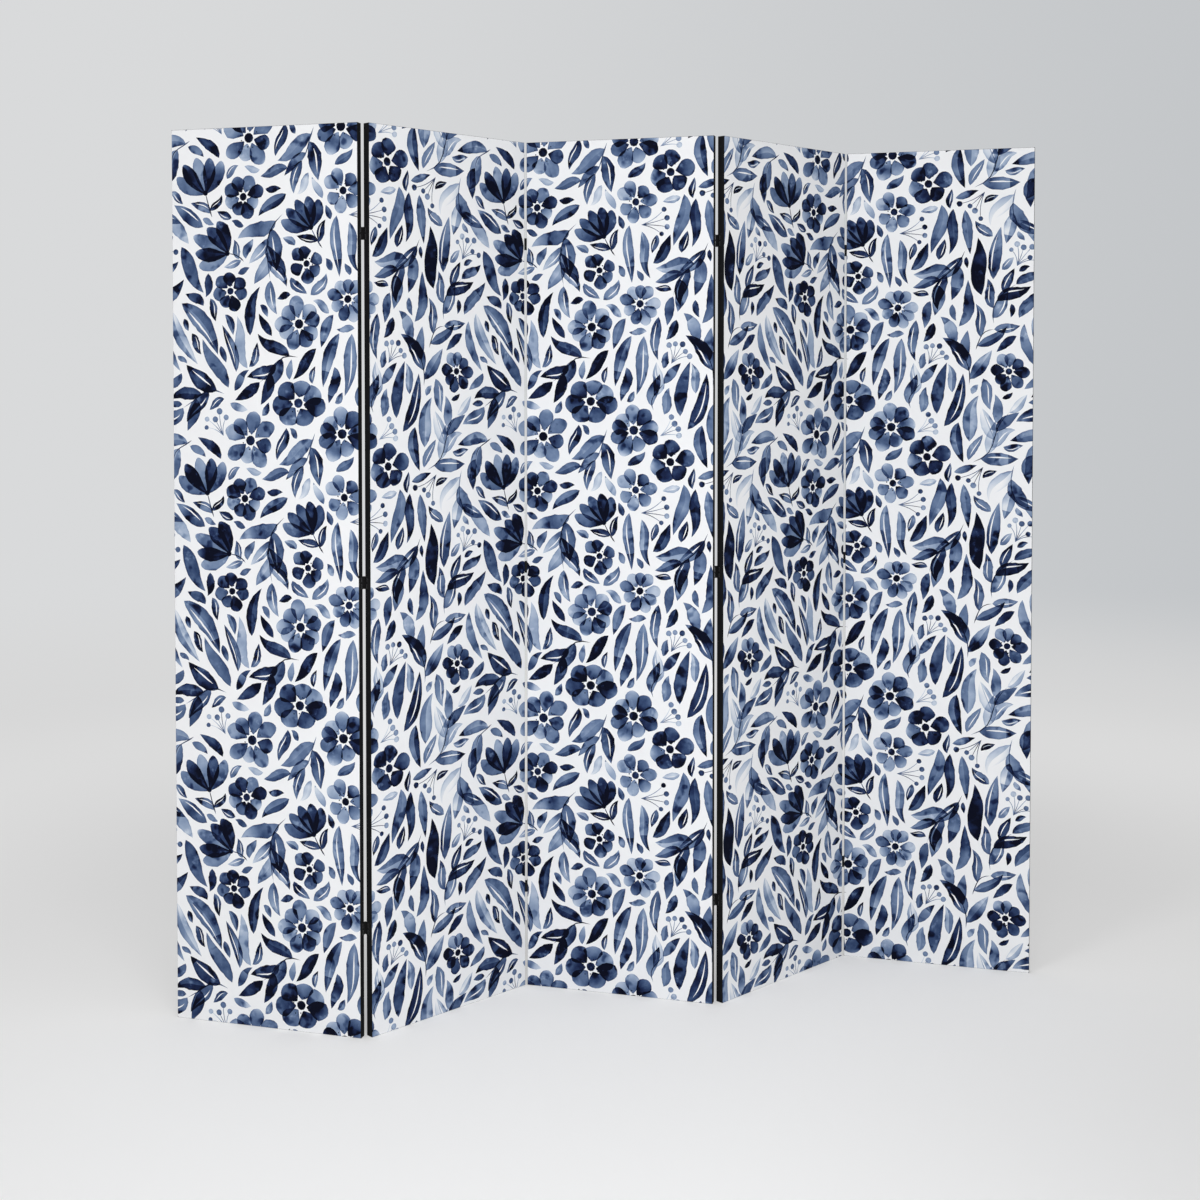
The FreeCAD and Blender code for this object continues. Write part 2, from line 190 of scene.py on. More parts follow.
class Signal:
    """A number that changes over a surface, so that sums on it add Math nodes."""

    def __init__(self, board: "Board", socket: bpy.types.NodeSocket) -> None:
        """Wraps an output socket.

        Args:
            board: The board that the socket's node is on.
            socket: The output to wrap.
        """
        self.board = board
        self.socket = socket

    def __add__(self, other: Number) -> "Signal":
        """Sum."""
        return self.board.maths("ADD", self, other)

    def __sub__(self, other: Number) -> "Signal":
        """Difference."""
        return self.board.maths("SUBTRACT", self, other)

    def __rsub__(self, other: Number) -> "Signal":
        """Difference from a plain number."""
        return self.board.maths("SUBTRACT", other, self)

    def __mul__(self, other: Number) -> "Signal":
        """Product."""
        return self.board.maths("MULTIPLY", self, other)

    def __truediv__(self, other: Number) -> "Signal":
        """Quotient."""
        return self.board.maths("DIVIDE", self, other)

    __radd__ = __add__
    __rmul__ = __mul__

    def held(self) -> "Signal":
        """The number kept between 0 and 1."""
        return self.board.maths("MULTIPLY", self, 1.0, use_clamp=True)

    def step(self, low: float, high: float) -> "Signal":
        """Rises smoothly from 0 at low to 1 at high.

        Args:
            low: Where the rise starts.
            high: Where the rise ends.

        Returns:
            The smoothed number.
        """
        inputs = {"Value": self, "From Min": low, "From Max": high}
        settings = {"interpolation_type": "SMOOTHSTEP"}
        return self.board.signal("ShaderNodeMapRange", "Result", settings, inputs)


class Board:
    """The nodes of one material or of the world."""

    def __init__(self, tree: bpy.types.NodeTree) -> None:
        """Starts with an empty tree.

        Args:
            tree: The node tree to fill.
        """
        self.tree = tree
        tree.nodes.clear()

    def add(
        self,
        kind: str,
        settings: dict[str, Any] | None = None,
        inputs: dict[str | int, Any] | None = None,
    ) -> bpy.types.Node:
        """Adds one node.

        Args:
            kind: The node's type.
            settings: Its settings, which are set first. stops fills a colour ramp.
            inputs: Values or links for its input sockets.

        Returns:
            The node.
        """
        node = self.tree.nodes.new(kind)
        for name, value in (settings or {}).items():
            if name == "stops":
                self.fill_ramp(node.color_ramp, value)
            else:
                setattr(node, name, value)
        for name, value in (inputs or {}).items():
            if isinstance(value, Signal):
                value = value.socket
            if isinstance(value, bpy.types.NodeSocket):
                self.tree.links.new(value, node.inputs[name])
            else:
                node.inputs[name].default_value = value
        return node

    def fill_ramp(self, ramp: bpy.types.ColorRamp, stops: dict[float, tuple]) -> None:
        """Sets a colour ramp's stops.

        Args:
            ramp: The ramp, which starts with two stops.
            stops: Colours by place.
        """
        while len(ramp.elements) < len(stops):
            ramp.elements.new(1.0)
        for element, (place, colour) in zip(ramp.elements, sorted(stops.items())):
            element.position = place
            element.color = colour

    def signal(self, kind: str, output: str, settings: Any = None, inputs: Any = None) -> Signal:
        """Adds a node and wraps one of its outputs.

        Args:
            kind: The node's type.
            output: The output's name.
            settings: The node's settings.
            inputs: Values or links for its inputs.

        Returns:
            The wrapped output.
        """
        return Signal(self, self.add(kind, settings, inputs).outputs[output])

    def maths(self, operation: str, *values: Number, use_clamp: bool = False) -> Signal:
        """Adds a Math node.

        Args:
            operation: Its operation.
            *values: Its operands.
            use_clamp: Whether the result stays between 0 and 1.

        Returns:
            The result.
        """
        settings = {"operation": operation, "use_clamp": use_clamp}
        return self.signal("ShaderNodeMath", "Value", settings, dict(enumerate(values)))

    def noise(
        self,
        place: Any,
        scale: float,
        detail: float = 2.0,
        rough: float = 0.5,
        slice_at: Number | None = None,
    ) -> Signal:
        """Adds a noise texture.

        Args:
            place: The coordinates it is read at.
            scale: Lumps per metre.
            detail: Layers of finer lumps.
            rough: Strength of the finer lumps.
            slice_at: Which of many unlike noises to use, where it changes over the surface.

        Returns:
            The noise, about 0.5.
        """
        inputs = {"Vector": place, "Scale": scale, "Detail": detail, "Roughness": rough}
        settings = None
        if slice_at is not None:
            inputs["W"] = slice_at
            settings = {"noise_dimensions": "4D"}
        return self.signal("ShaderNodeTexNoise", "Fac", settings, inputs)

    def on_cloth(self) -> Any:
        """Where a point lies on its cloth, flat, in metres."""
        return self.add("ShaderNodeUVMap", {"uv_map": "cloth"}).outputs["UV"]

    def in_place(self) -> Any:
        """Where a point lies in the room, in metres."""
        return self.add("ShaderNodeTexCoord").outputs["Object"]

    def axis(self, name: str, place: Any) -> Signal:
        """One coordinate of a place, by its name."""
        return self.signal("ShaderNodeSeparateXYZ", name, None, {"Vector": place})

    def distance(self, place: Any, point: Sequence[float]) -> Signal:
        """How far a place lies from a point."""
        inputs = {0: place, 1: tuple(point)}
        return self.signal("ShaderNodeVectorMath", "Value", {"operation": "DISTANCE"}, inputs)

    def scaled(self, place: Any, scale: Sequence[float], turn: float = 0.0) -> Any:
        """Adds a Mapping node that turns coordinates about Z and then stretches them.

        Args:
            place: The coordinates.
            scale: Stretch along each axis.
            turn: Turn about Z, in radians.

        Returns:
            The mapped coordinates.
        """
        inputs = {"Vector": place, "Rotation": (0.0, 0.0, turn)}
        turned = self.add("ShaderNodeMapping", None, inputs).outputs["Vector"]
        inputs = {"Vector": turned, "Scale": tuple(scale)}
        return self.add("ShaderNodeMapping", None, inputs).outputs["Vector"]

    def blend(self, share: Number, first: Any, second: Any) -> Any:
        """Mixes two colours.

        Args:
            share: 0 gives the first, 1 the second.
            first: A colour or a link to one.
            second: A colour or a link to one.

        Returns:
            The mixed colour's socket.
        """
        settings = {"data_type": "RGBA", "clamp_factor": True}
        node = self.add("ShaderNodeMix", settings, {0: share, 6: first, 7: second})
        return node.outputs[2]

    def bump(self, height: Signal, distance: float, strength: float) -> Any:
        """Adds a Bump node.

        Args:
            height: Height over the surface, 0 to 1.
            distance: What a height of 1 stands for, in metres.
            strength: How much of it shows.

        Returns:
            The normal's socket.
        """
        inputs = {"Height": height, "Distance": distance, "Strength": strength}
        return self.add("ShaderNodeBump", None, inputs).outputs["Normal"]

    def surface(self, **inputs: Any) -> None:
        """Ends a material in a Principled BSDF.

        Args:
            **inputs: Its sockets, with underscores for spaces.
        """
        sockets = {name.replace("_", " "): value for name, value in inputs.items()}
        self.output("Material", self.add("ShaderNodeBsdfPrincipled", None, sockets))

    def output(self, kind: str, *shaders: bpy.types.Node, share: Number = 0.0) -> None:
        """Ends a material or the world in one shader, or in a mix of two.

        Args:
            kind: Material or World.
            *shaders: One or two shader nodes.
            share: How much of the second shows.
        """
        last = shaders[0]
        if len(shaders) == 2:
            inputs = {0: share, 1: shaders[0].outputs[0], 2: shaders[1].outputs[0]}
            last = self.add("ShaderNodeMixShader", None, inputs)
        self.add(f"ShaderNodeOutput{kind}", None, {"Surface": last.outputs[0]})


@dataclass(frozen=True)
class Finish:
    """A finish that is brushed, woven or sawn onto pieces of one kind."""

    name: str

    def material(self) -> bpy.types.Material:
        """Makes the finish's material.

        Returns:
            The material.
        """
        material = bpy.data.materials.new(self.name)
        material.use_nodes = True
        self.lay(Board(material.node_tree))
        return material

    def lay(self, board: Board) -> None:
        """Lays the finish's nodes on an empty board."""
        raise NotImplementedError


@dataclass(frozen=True)
class PrintedCanvas(Finish):
    """Primed cotton canvas with a watercolour print, dyed black on its sides."""

    ground: tuple = from_screen(241, 242, 244)
    side_black: tuple = from_screen(24, 24, 26)
    side_scuff: tuple = from_screen(46, 46, 49)
    thread: float = 1.15 * MM
    bloom: float = 26 * MM
    pool: float = 24 * MM
    grain: float = 1.6 * MM
    scuff: float = 9 * MM
    slub_scale: float = 900.0
    tooth: float = 0.12 * MM
    tooth_strength: float = 0.35
    roughness: float = 0.9
    wet_gloss: float = 0.1
    specular: float = 0.1
    bloom_strength: float = 0.9
    grain_strength: float = 0.16
    lift_strength: float = 0.34
    pool_strength: float = 0.3

    def inks(self) -> dict[float, tuple]:
        """Indigo from bare ground to its deepest, by depth of colour.

        Returns:
            Colours by depth, 0 to 1.
        """
        return {
            0.0: self.ground,
            0.14: from_screen(200, 210, 224),
            0.28: from_screen(156, 172, 197),
            0.42: from_screen(114, 134, 166),
            0.56: from_screen(84, 104, 139),
            0.70: from_screen(52, 71, 108),
            0.84: from_screen(25, 38, 74),
            1.0: from_screen(2, 6, 27),
        }

    def wash(self, board: Board, flat: Any, depth: Signal, drift: Signal) -> Signal:
        """Lets water carry the colour about in each mark, and the canvas's tooth break it up.

        Args:
            board: The board to lay it on.
            flat: Places on the cloth.
            depth: Depth of colour as it left the brush.
            drift: A number of each mark's own, so that no two run alike.

        Returns:
            Depth of colour as it dried.
        """
        bloom = board.noise(flat, 1 / self.bloom, 2.5, 0.5, drift * 31)
        pool = board.noise(flat, 1 / self.pool, 1.5, 0.5, drift * 47 + 9).step(0.55, 0.68)
        lift = board.noise(flat, 1 / self.pool, 3.0, 0.6, drift * 23 + 5).step(0.57, 0.72)
        grain = board.noise(flat, 1 / self.grain, 2.0, 0.6)
        run = (bloom - 0.5) * self.bloom_strength + (grain - 0.5) * self.grain_strength
        wet = depth.step(0.12, 0.4)
        dried = depth * (1.0 + (run - lift * self.lift_strength))
        return (dried + wet * pool * self.pool_strength).held()

    def lay(self, board: Board) -> None:
        """Lays the print, the weave and the black sides.

        Args:
            board: The board to lay it on.
        """
        laid = board.add("ShaderNodeAttribute", {"attribute_name": "print_ink"})
        parts = board.add("ShaderNodeSeparateColor", None, {"Color": laid.outputs["Color"]})
        depth, drift, side = (Signal(board, parts.outputs[k]) for k in range(3))
        flat = board.on_cloth()
        wash = self.wash(board, flat, depth, drift)
        ramp = board.add("ShaderNodeValToRGB", {"stops": self.inks()}, {"Fac": wash})
        scuff = board.noise(flat, 1 / self.scuff, 4.0, 0.7).step(0.56, 0.8)
        black = board.blend(scuff, self.side_black, self.side_scuff)
        turns = math.tau / self.thread
        warp, weft = (board.maths("SINE", board.axis(name, flat) * turns) for name in "XY")
        weave = warp * weft * 0.35 + board.noise(flat, self.slub_scale) * 0.5
        board.surface(
            Base_Color=board.blend(side, ramp.outputs["Color"], black),
            Roughness=self.roughness - wash * self.wet_gloss,
            Specular_IOR_Level=self.specular,
            Normal=board.bump(weave, self.tooth, self.tooth_strength),
        )


@dataclass(frozen=True)
class BlackCloth(Finish):
    """Thin spun cloth, black, with a faint crossed grain and specks of lint."""

    dark: tuple = from_screen(21, 21, 23)
    pale: tuple = from_screen(37, 37, 40)
    lint: tuple = from_screen(92, 92, 94)
    pill: float = 1.8 * MM
    cloud_scale: float = 14.0
    fibre_scale: Point = (260.0, 1500.0, 1.0)
    cross_scale: Point = (1500.0, 260.0, 1.0)
    lint_scale: Point = (420.0, 900.0, 1.0)
    lint_strength: float = 0.6
    nap: float = 0.15 * MM
    nap_strength: float = 0.5
    roughness: float = 0.93
    fibre_gloss: float = 0.1
    specular: float = 0.2
    sheen: float = 0.25
    sheen_roughness: float = 0.5

    def lay(self, board: Board) -> None:
        """Lays fibres that run two ways, small embossed dots and lint.

        Args:
            board: The board to lay it on.
        """
        flat = board.on_cloth()
        long_fibre = board.noise(board.scaled(flat, self.fibre_scale, 0.3), 1.0, 3.0, 0.7)
        cross_fibre = board.noise(board.scaled(flat, self.cross_scale, -0.2), 1.0, 3.0, 0.7)
        fibre = board.maths("MAXIMUM", long_fibre, cross_fibre)
        inputs = {"Vector": flat, "Scale": 1 / self.pill, "Randomness": 0.12}
        dots = board.signal("ShaderNodeTexVoronoi", "Distance", None, inputs).step(0.18, 0.34)
        cloudy = board.noise(flat, self.cloud_scale, 3.0, 0.6)
        tone = (fibre - 0.5) * 1.5 + (cloudy - 0.5) * 0.7 + 0.35
        specks = board.noise(board.scaled(flat, self.lint_scale, 0.8), 1.0, 1.0).step(0.79, 0.84)
        colour = board.blend(tone.held(), self.dark, self.pale)
        board.surface(
            Base_Color=board.blend(specks * self.lint_strength, colour, self.lint),
            Roughness=self.roughness - fibre * self.fibre_gloss,
            Specular_IOR_Level=self.specular,
            Sheen_Weight=self.sheen,
            Sheen_Roughness=self.sheen_roughness,
            Normal=board.bump(fibre * 0.6 + dots * 0.5, self.nap, self.nap_strength),
        )


@dataclass(frozen=True)
class Webbing(Finish):
    """Black webbing woven in a herringbone, with a closed edge."""

    dark: tuple = from_screen(6, 6, 7)
    pale: tuple = from_screen(25, 25, 27)
    rib: float = 1.3 * MM
    chevron: float = 6.25 * MM
    yarn_scale: Point = (700.0, 2600.0, 1.0)
    rib_depth: float = 0.22 * MM
    rib_strength: float = 0.6
    roughness: float = 0.8
    rib_gloss: float = 0.18
    specular: float = 0.2
    sheen: float = 0.05

    def lay(self, board: Board) -> None:
        """Lays slanting ribs that turn back at each chevron.

        Args:
            board: The board to lay it on.
        """
        flat = board.on_cloth()
        zigzag = board.maths("PINGPONG", board.axis("Y", flat), self.chevron / 2)
        turns = (board.axis("X", flat) + zigzag) * (math.tau / self.rib)
        rib = board.maths("SINE", turns) * 0.5 + 0.5
        yarn = board.noise(board.scaled(flat, self.yarn_scale), 1.0, 3.0, 0.6)
        shade = rib * 0.55 + (yarn - 0.5) * 0.6
        board.surface(
            Base_Color=board.blend(shade.held(), self.dark, self.pale),
            Roughness=self.roughness - rib * self.rib_gloss,
            Specular_IOR_Level=self.specular,
            Sheen_Weight=self.sheen,
            Normal=board.bump(rib * 0.8 + yarn * 0.25, self.rib_depth, self.rib_strength),
        )


@dataclass(frozen=True)
class StapleWire(Finish):
    """Drawn steel wire with a thin zinc coat, dulled in places."""

    bright: tuple = from_screen(196, 198, 202)
    dull: tuple = from_screen(128, 130, 134)
    line_scale: Point = (6000.0, 6000.0, 500.0)
    patch_scale: float = 420.0
    line_depth: float = 0.02 * MM
    line_strength: float = 0.4
    roughness: float = 0.3
    dull_roughness: float = 0.22
    line_roughness: float = 0.12

    def lay(self, board: Board) -> None:
        """Lays fine draw lines and dull patches.

        Args:
            board: The board to lay it on.
        """
        place = board.in_place()
        lines = board.noise(board.scaled(place, self.line_scale), 1.0)
        dullness = board.noise(place, self.patch_scale, 3.0, 0.6).step(0.45, 0.66)
        worn = self.roughness + dullness * self.dull_roughness
        board.surface(
            Base_Color=board.blend(dullness, self.bright, self.dull),
            Metallic=1.0,
            Roughness=worn + (lines - 0.5) * self.line_roughness,
            Normal=board.bump(lines, self.line_depth, self.line_strength),
        )


@dataclass(frozen=True)
class Pine(Finish):
    """Planed pine, with its grain along one direction."""

    turn: float = 0.0
    upright: bool = True
    early: tuple = from_screen(226, 200, 156)
    late: tuple = from_screen(184, 140, 88)
    knot: tuple = from_screen(120, 80, 48)
    along: float = 0.7
    across: float = 9.0
    pore: float = 60.0
    knot_scale: float = 9.0
    warp_scale: float = 2.6
    ring_turns: float = 60.0
    grain_depth: float = 0.12 * MM
    grain_strength: float = 0.3
    roughness: float = 0.55
    ring_roughness: float = 0.12
    specular: float = 0.4

    def lay(self, board: Board) -> None:
        """Lays growth rings drawn out along the bar, pores and a few knots.

        Args:
            board: The board to lay it on.
        """
        place = board.in_place()
        stretch = (self.along, self.across, self.across)
        stretch = stretch[::-1] if self.upright else stretch
        drawn = board.scaled(place, stretch, self.turn)
        warp = board.noise(drawn, self.warp_scale, 3.0, 0.55)
        rings = board.maths("SINE", warp * self.ring_turns) * 0.5 + 0.5
        fine = tuple(self.pore * scale for scale in stretch)
        pores = board.noise(board.scaled(place, fine, self.turn), 1.0)
        knots = board.noise(place, self.knot_scale, 1.0).step(0.74, 0.8)
        grain = board.blend(rings * 0.7 + (pores - 0.5) * 0.3, self.early, self.late)
        board.surface(
            Base_Color=board.blend(knots, grain, self.knot),
            Roughness=self.roughness + rings * self.ring_roughness,
            Specular_IOR_Level=self.specular,
            Normal=board.bump(rings * 0.4 + pores * 0.6, self.grain_depth, self.grain_strength),
        )


@dataclass(frozen=True)
class Swell:
    """How a mark's width swells: its corners, where it is widest, how full it is, how it wanes."""

    corners: int
    lean: float = 1.0
    fullness: float = 1.0
    start: float = 1.0
    wane: float = 0.0


class Profile(Enum):
    """How a brush mark's width runs from its foot to its tip."""

    LEAF = Swell(12, 0.82, 0.92)
    BLADE = Swell(15, 0.86, 0.85, 1.06, 0.2)
    PETAL = Swell(10, 1.45, 0.6)
    STEM = Swell(8, wane=0.45)
    BEAD = Swell(6)

    def stations(self) -> np.ndarray:
        """Places along a mark's length, 0 to 1, where its outline has corners.

        Returns:
            The places, from the foot to the tip.
        """
        even = np.linspace(0.0, 1.0, self.value.corners)
        if self in (Profile.BEAD, Profile.PETAL):
            return (1 - np.cos(np.pi * even)) / 2
        return even

    def widths(self, place: np.ndarray) -> np.ndarray:
        """Half widths at places along the length, as shares of the widest.

        Args:
            place: Places from the foot, 0, to the tip, 1.

        Returns:
            Shares from 0 to 1.
        """
        swell, end_slope = self.value, 9
        if self is Profile.BEAD:
            return np.sqrt(np.clip(1 - (2 * place - 1) ** 2, 0, 1))
        if self is Profile.STEM:
            full = np.minimum(1.0, end_slope * np.minimum(place, 1 - place))
        else:
            full = np.clip(np.sin(np.pi * place**swell.lean), 0, 1) ** swell.fullness
        return full * (swell.start - swell.wane * place)


def spin_of(turn: float) -> np.ndarray:
    """Matrix that turns rows of points anticlockwise about the origin."""
    cos, sin = math.cos(turn), math.sin(turn)
    return np.array([[cos, sin], [-sin, cos]])


def polar(heading: float, length: float) -> tuple[float, float]:
    """How far a run in some direction goes across and up."""
    return length * math.cos(heading), length * math.sin(heading)


@dataclass(frozen=True)
class Mark:
    """One brush mark of the print: a spine with widths, and how its colour runs."""

    spine: np.ndarray
    half_width: np.ndarray
    foot_tone: float = 0.5
    tip_tone: float = 0.5
    pool_place: float = 0.5
    pool_tone: float = 0.0
    drift: float = 0.5
    sliver: float = 0.0
    touch: float = 1.0
    second_half: float = 0.0
    rim: float = 0.14
    rim_middle: float = 0.35
    pool_spread: float = 0.17
    tones: Range = (0.05, 1.0)
    heart: float = 0.7
    heart_least: float = 3.5 * MM
    sliver_width: float = 0.11
    lane: float = 1.8 * MM
    dab: float = 1.7 * MM

    def moved(self, turn: float, shift: np.ndarray) -> "Mark":
        """The mark turned about the origin and then shifted.

        Args:
            turn: Turn, anticlockwise, in radians.
            shift: Shift across and up.

        Returns:
            The moved mark.
        """
        return replace(self, spine=self.spine @ spin_of(turn) + shift)

    @cached_property
    def normals(self) -> np.ndarray:
        """Directions to the left of the spine, one per station.

        Returns:
            Unit directions, one to a row.
        """
        run = np.gradient(self.spine, axis=0)
        run /= np.linalg.norm(run, axis=1, keepdims=True) + 1e-12
        return np.stack([-run[:, 1], run[:, 0]], axis=1)

    def side(self, share: float, first: int = 0, last: int | None = None) -> np.ndarray:
        """Points to one side of the spine.

        Args:
            share: How far out, as a share of the half width. Below 0 is to the right.
            first: First station.
            last: Station to stop before.

        Returns:
            One point per station.
        """
        return (self.spine + self.normals * (share * self.half_width)[:, None])[first:last]

    def band(
        self, left: float, right: float, first: int = 0, last: int | None = None
    ) -> np.ndarray:
        """Closed outline between two shares of the width, anticlockwise.

        Args:
            left: Share of the half width on its left.
            right: Share on its right, below 0 past the spine.
            first: First station.
            last: Station to stop before.

        Returns:
            The outline's corners.
        """
        return np.concatenate([self.side(right, first, last), self.side(left, first, last)[::-1]])

    def outline(self) -> np.ndarray:
        """Closed outline, one corner at each end."""
        return np.concatenate([self.side(-1.0), self.side(1.0)[-2:0:-1]])

    def sliver_outline(self) -> np.ndarray:
        """Narrow place beside the spine that the brush leaves bare.

        Returns:
            The outline's corners.
        """
        last = len(self.spine) - 2
        taper = np.sin(np.linspace(0, np.pi, last - 2)) ** 0.7 * self.sliver_width
        middle = self.side(self.sliver, 2, last)
        out = self.normals[2:last] * (taper * self.half_width[2:last])[:, None]
        return np.concatenate([middle - out, (middle + out)[::-1][1:-1]])

    @cached_property
    def parts(self) -> dict["Part", np.ndarray]:
        """Outlines of the mark and of what lies inside it.

        Returns:
            Corners by what they stand for, anticlockwise.
        """
        wide = self.half_width.max() > self.heart_least
        made = {Part.WASH: self.outline()}
        if wide:
            made[Part.HEART] = self.band(self.heart, -self.heart, 1, -1)
        if self.second_half and wide:
            made[Part.HALF] = np.concatenate([self.spine, self.side(1.0)[-2:0:-1]])
        if self.sliver:
            made[Part.SLIVER] = self.sliver_outline()
        if self.touch < 1:
            first = max(1, int(round(self.touch * (len(self.spine) - 1))))
            left = self.side(1.0, first)[-2::-1]
            made[Part.TOUCH] = np.concatenate([self.side(-1.0, first), left])
        return {part: line if area_of(line) > 0 else line[::-1] for part, line in made.items()}

    @cached_property
    def box(self) -> tuple[np.ndarray, np.ndarray]:
        """Lower left and upper right corner of the rectangle round the mark."""
        return self.parts[Part.WASH].min(0), self.parts[Part.WASH].max(0)

    def tone_at(self, points: np.ndarray) -> np.ndarray:
        """Depth of colour at points on the mark.

        Args:
            points: Points, one to a row.

        Returns:
            A depth from 0 to 1 for each.
        """
        start, run = self.spine[:-1], np.diff(self.spine, axis=0)
        past = points[:, None, :] - start
        share = np.clip((past * run).sum(2) / ((run**2).sum(1) + 1e-15), 0, 1)
        gap = np.linalg.norm(past - share[..., None] * run, axis=2)
        nearest = gap.argmin(axis=1)
        rows = np.arange(len(points))
        place = (nearest + share[rows, nearest]) / len(run)
        wide = np.interp(place * len(run), np.arange(len(self.spine)), self.half_width)
        across = np.clip(gap[rows, nearest] / (wide + 0.2 * MM), 0, 1)
        tone = self.foot_tone + (self.tip_tone - self.foot_tone) * place
        pool = np.exp(-(((place - self.pool_place) / self.pool_spread) ** 2))
        edge = self.rim * (across**3 - self.rim_middle)
        return np.clip(tone + self.pool_tone * pool + edge, *self.tones)

    def footprint(self) -> np.ndarray:
        """Points spread over the mark, closer together than the layout's cells.

        Returns:
            The points, one to a row.
        """
        length = float(np.linalg.norm(np.diff(self.spine, axis=0), axis=1).sum())
        count = max(3, int(length / self.dab))
        at = np.linspace(0, len(self.spine) - 1, count)
        index = np.arange(len(self.spine))
        lanes = 2 * max(1, int(math.ceil(self.half_width.max() / self.lane))) + 1
        rows = [self.side(share) for share in np.linspace(-1.0, 1.0, lanes)]
        dense = [np.stack([np.interp(at, index, row[:, k]) for k in (0, 1)], 1) for row in rows]
        return np.concatenate(dense)


class Part(Enum):
    """What an outline on the flat cut stands for."""

    CUT = "cut"
    FRONT = "front"
    WASH = "wash"
    HEART = "heart"
    HALF = "half"
    SLIVER = "sliver"
    TOUCH = "touch"


def spine_of(
    start: Sequence[float],
    heading: float,
    length: float,
    bend: float,
    sway: float,
    stations: np.ndarray,
) -> np.ndarray:
    """Points along a gently bent stroke.

    Args:
        start: Its foot.
        heading: Direction from foot to tip, in radians from the X axis.
        length: Foot to tip.
        bend: Sideways swing of its middle, as a share of the length.
        sway: Swing one way and then the other, as a share of the length.
        stations: Places along it, 0 to 1.

    Returns:
        One point per station.
    """
    along = np.array([math.cos(heading), math.sin(heading)])
    aside = np.array([-along[1], along[0]])
    swing = bend * 4 * stations * (1 - stations) + sway * np.sin(math.tau * stations)
    return np.asarray(start) + length * (stations[:, None] * along + swing[:, None] * aside)


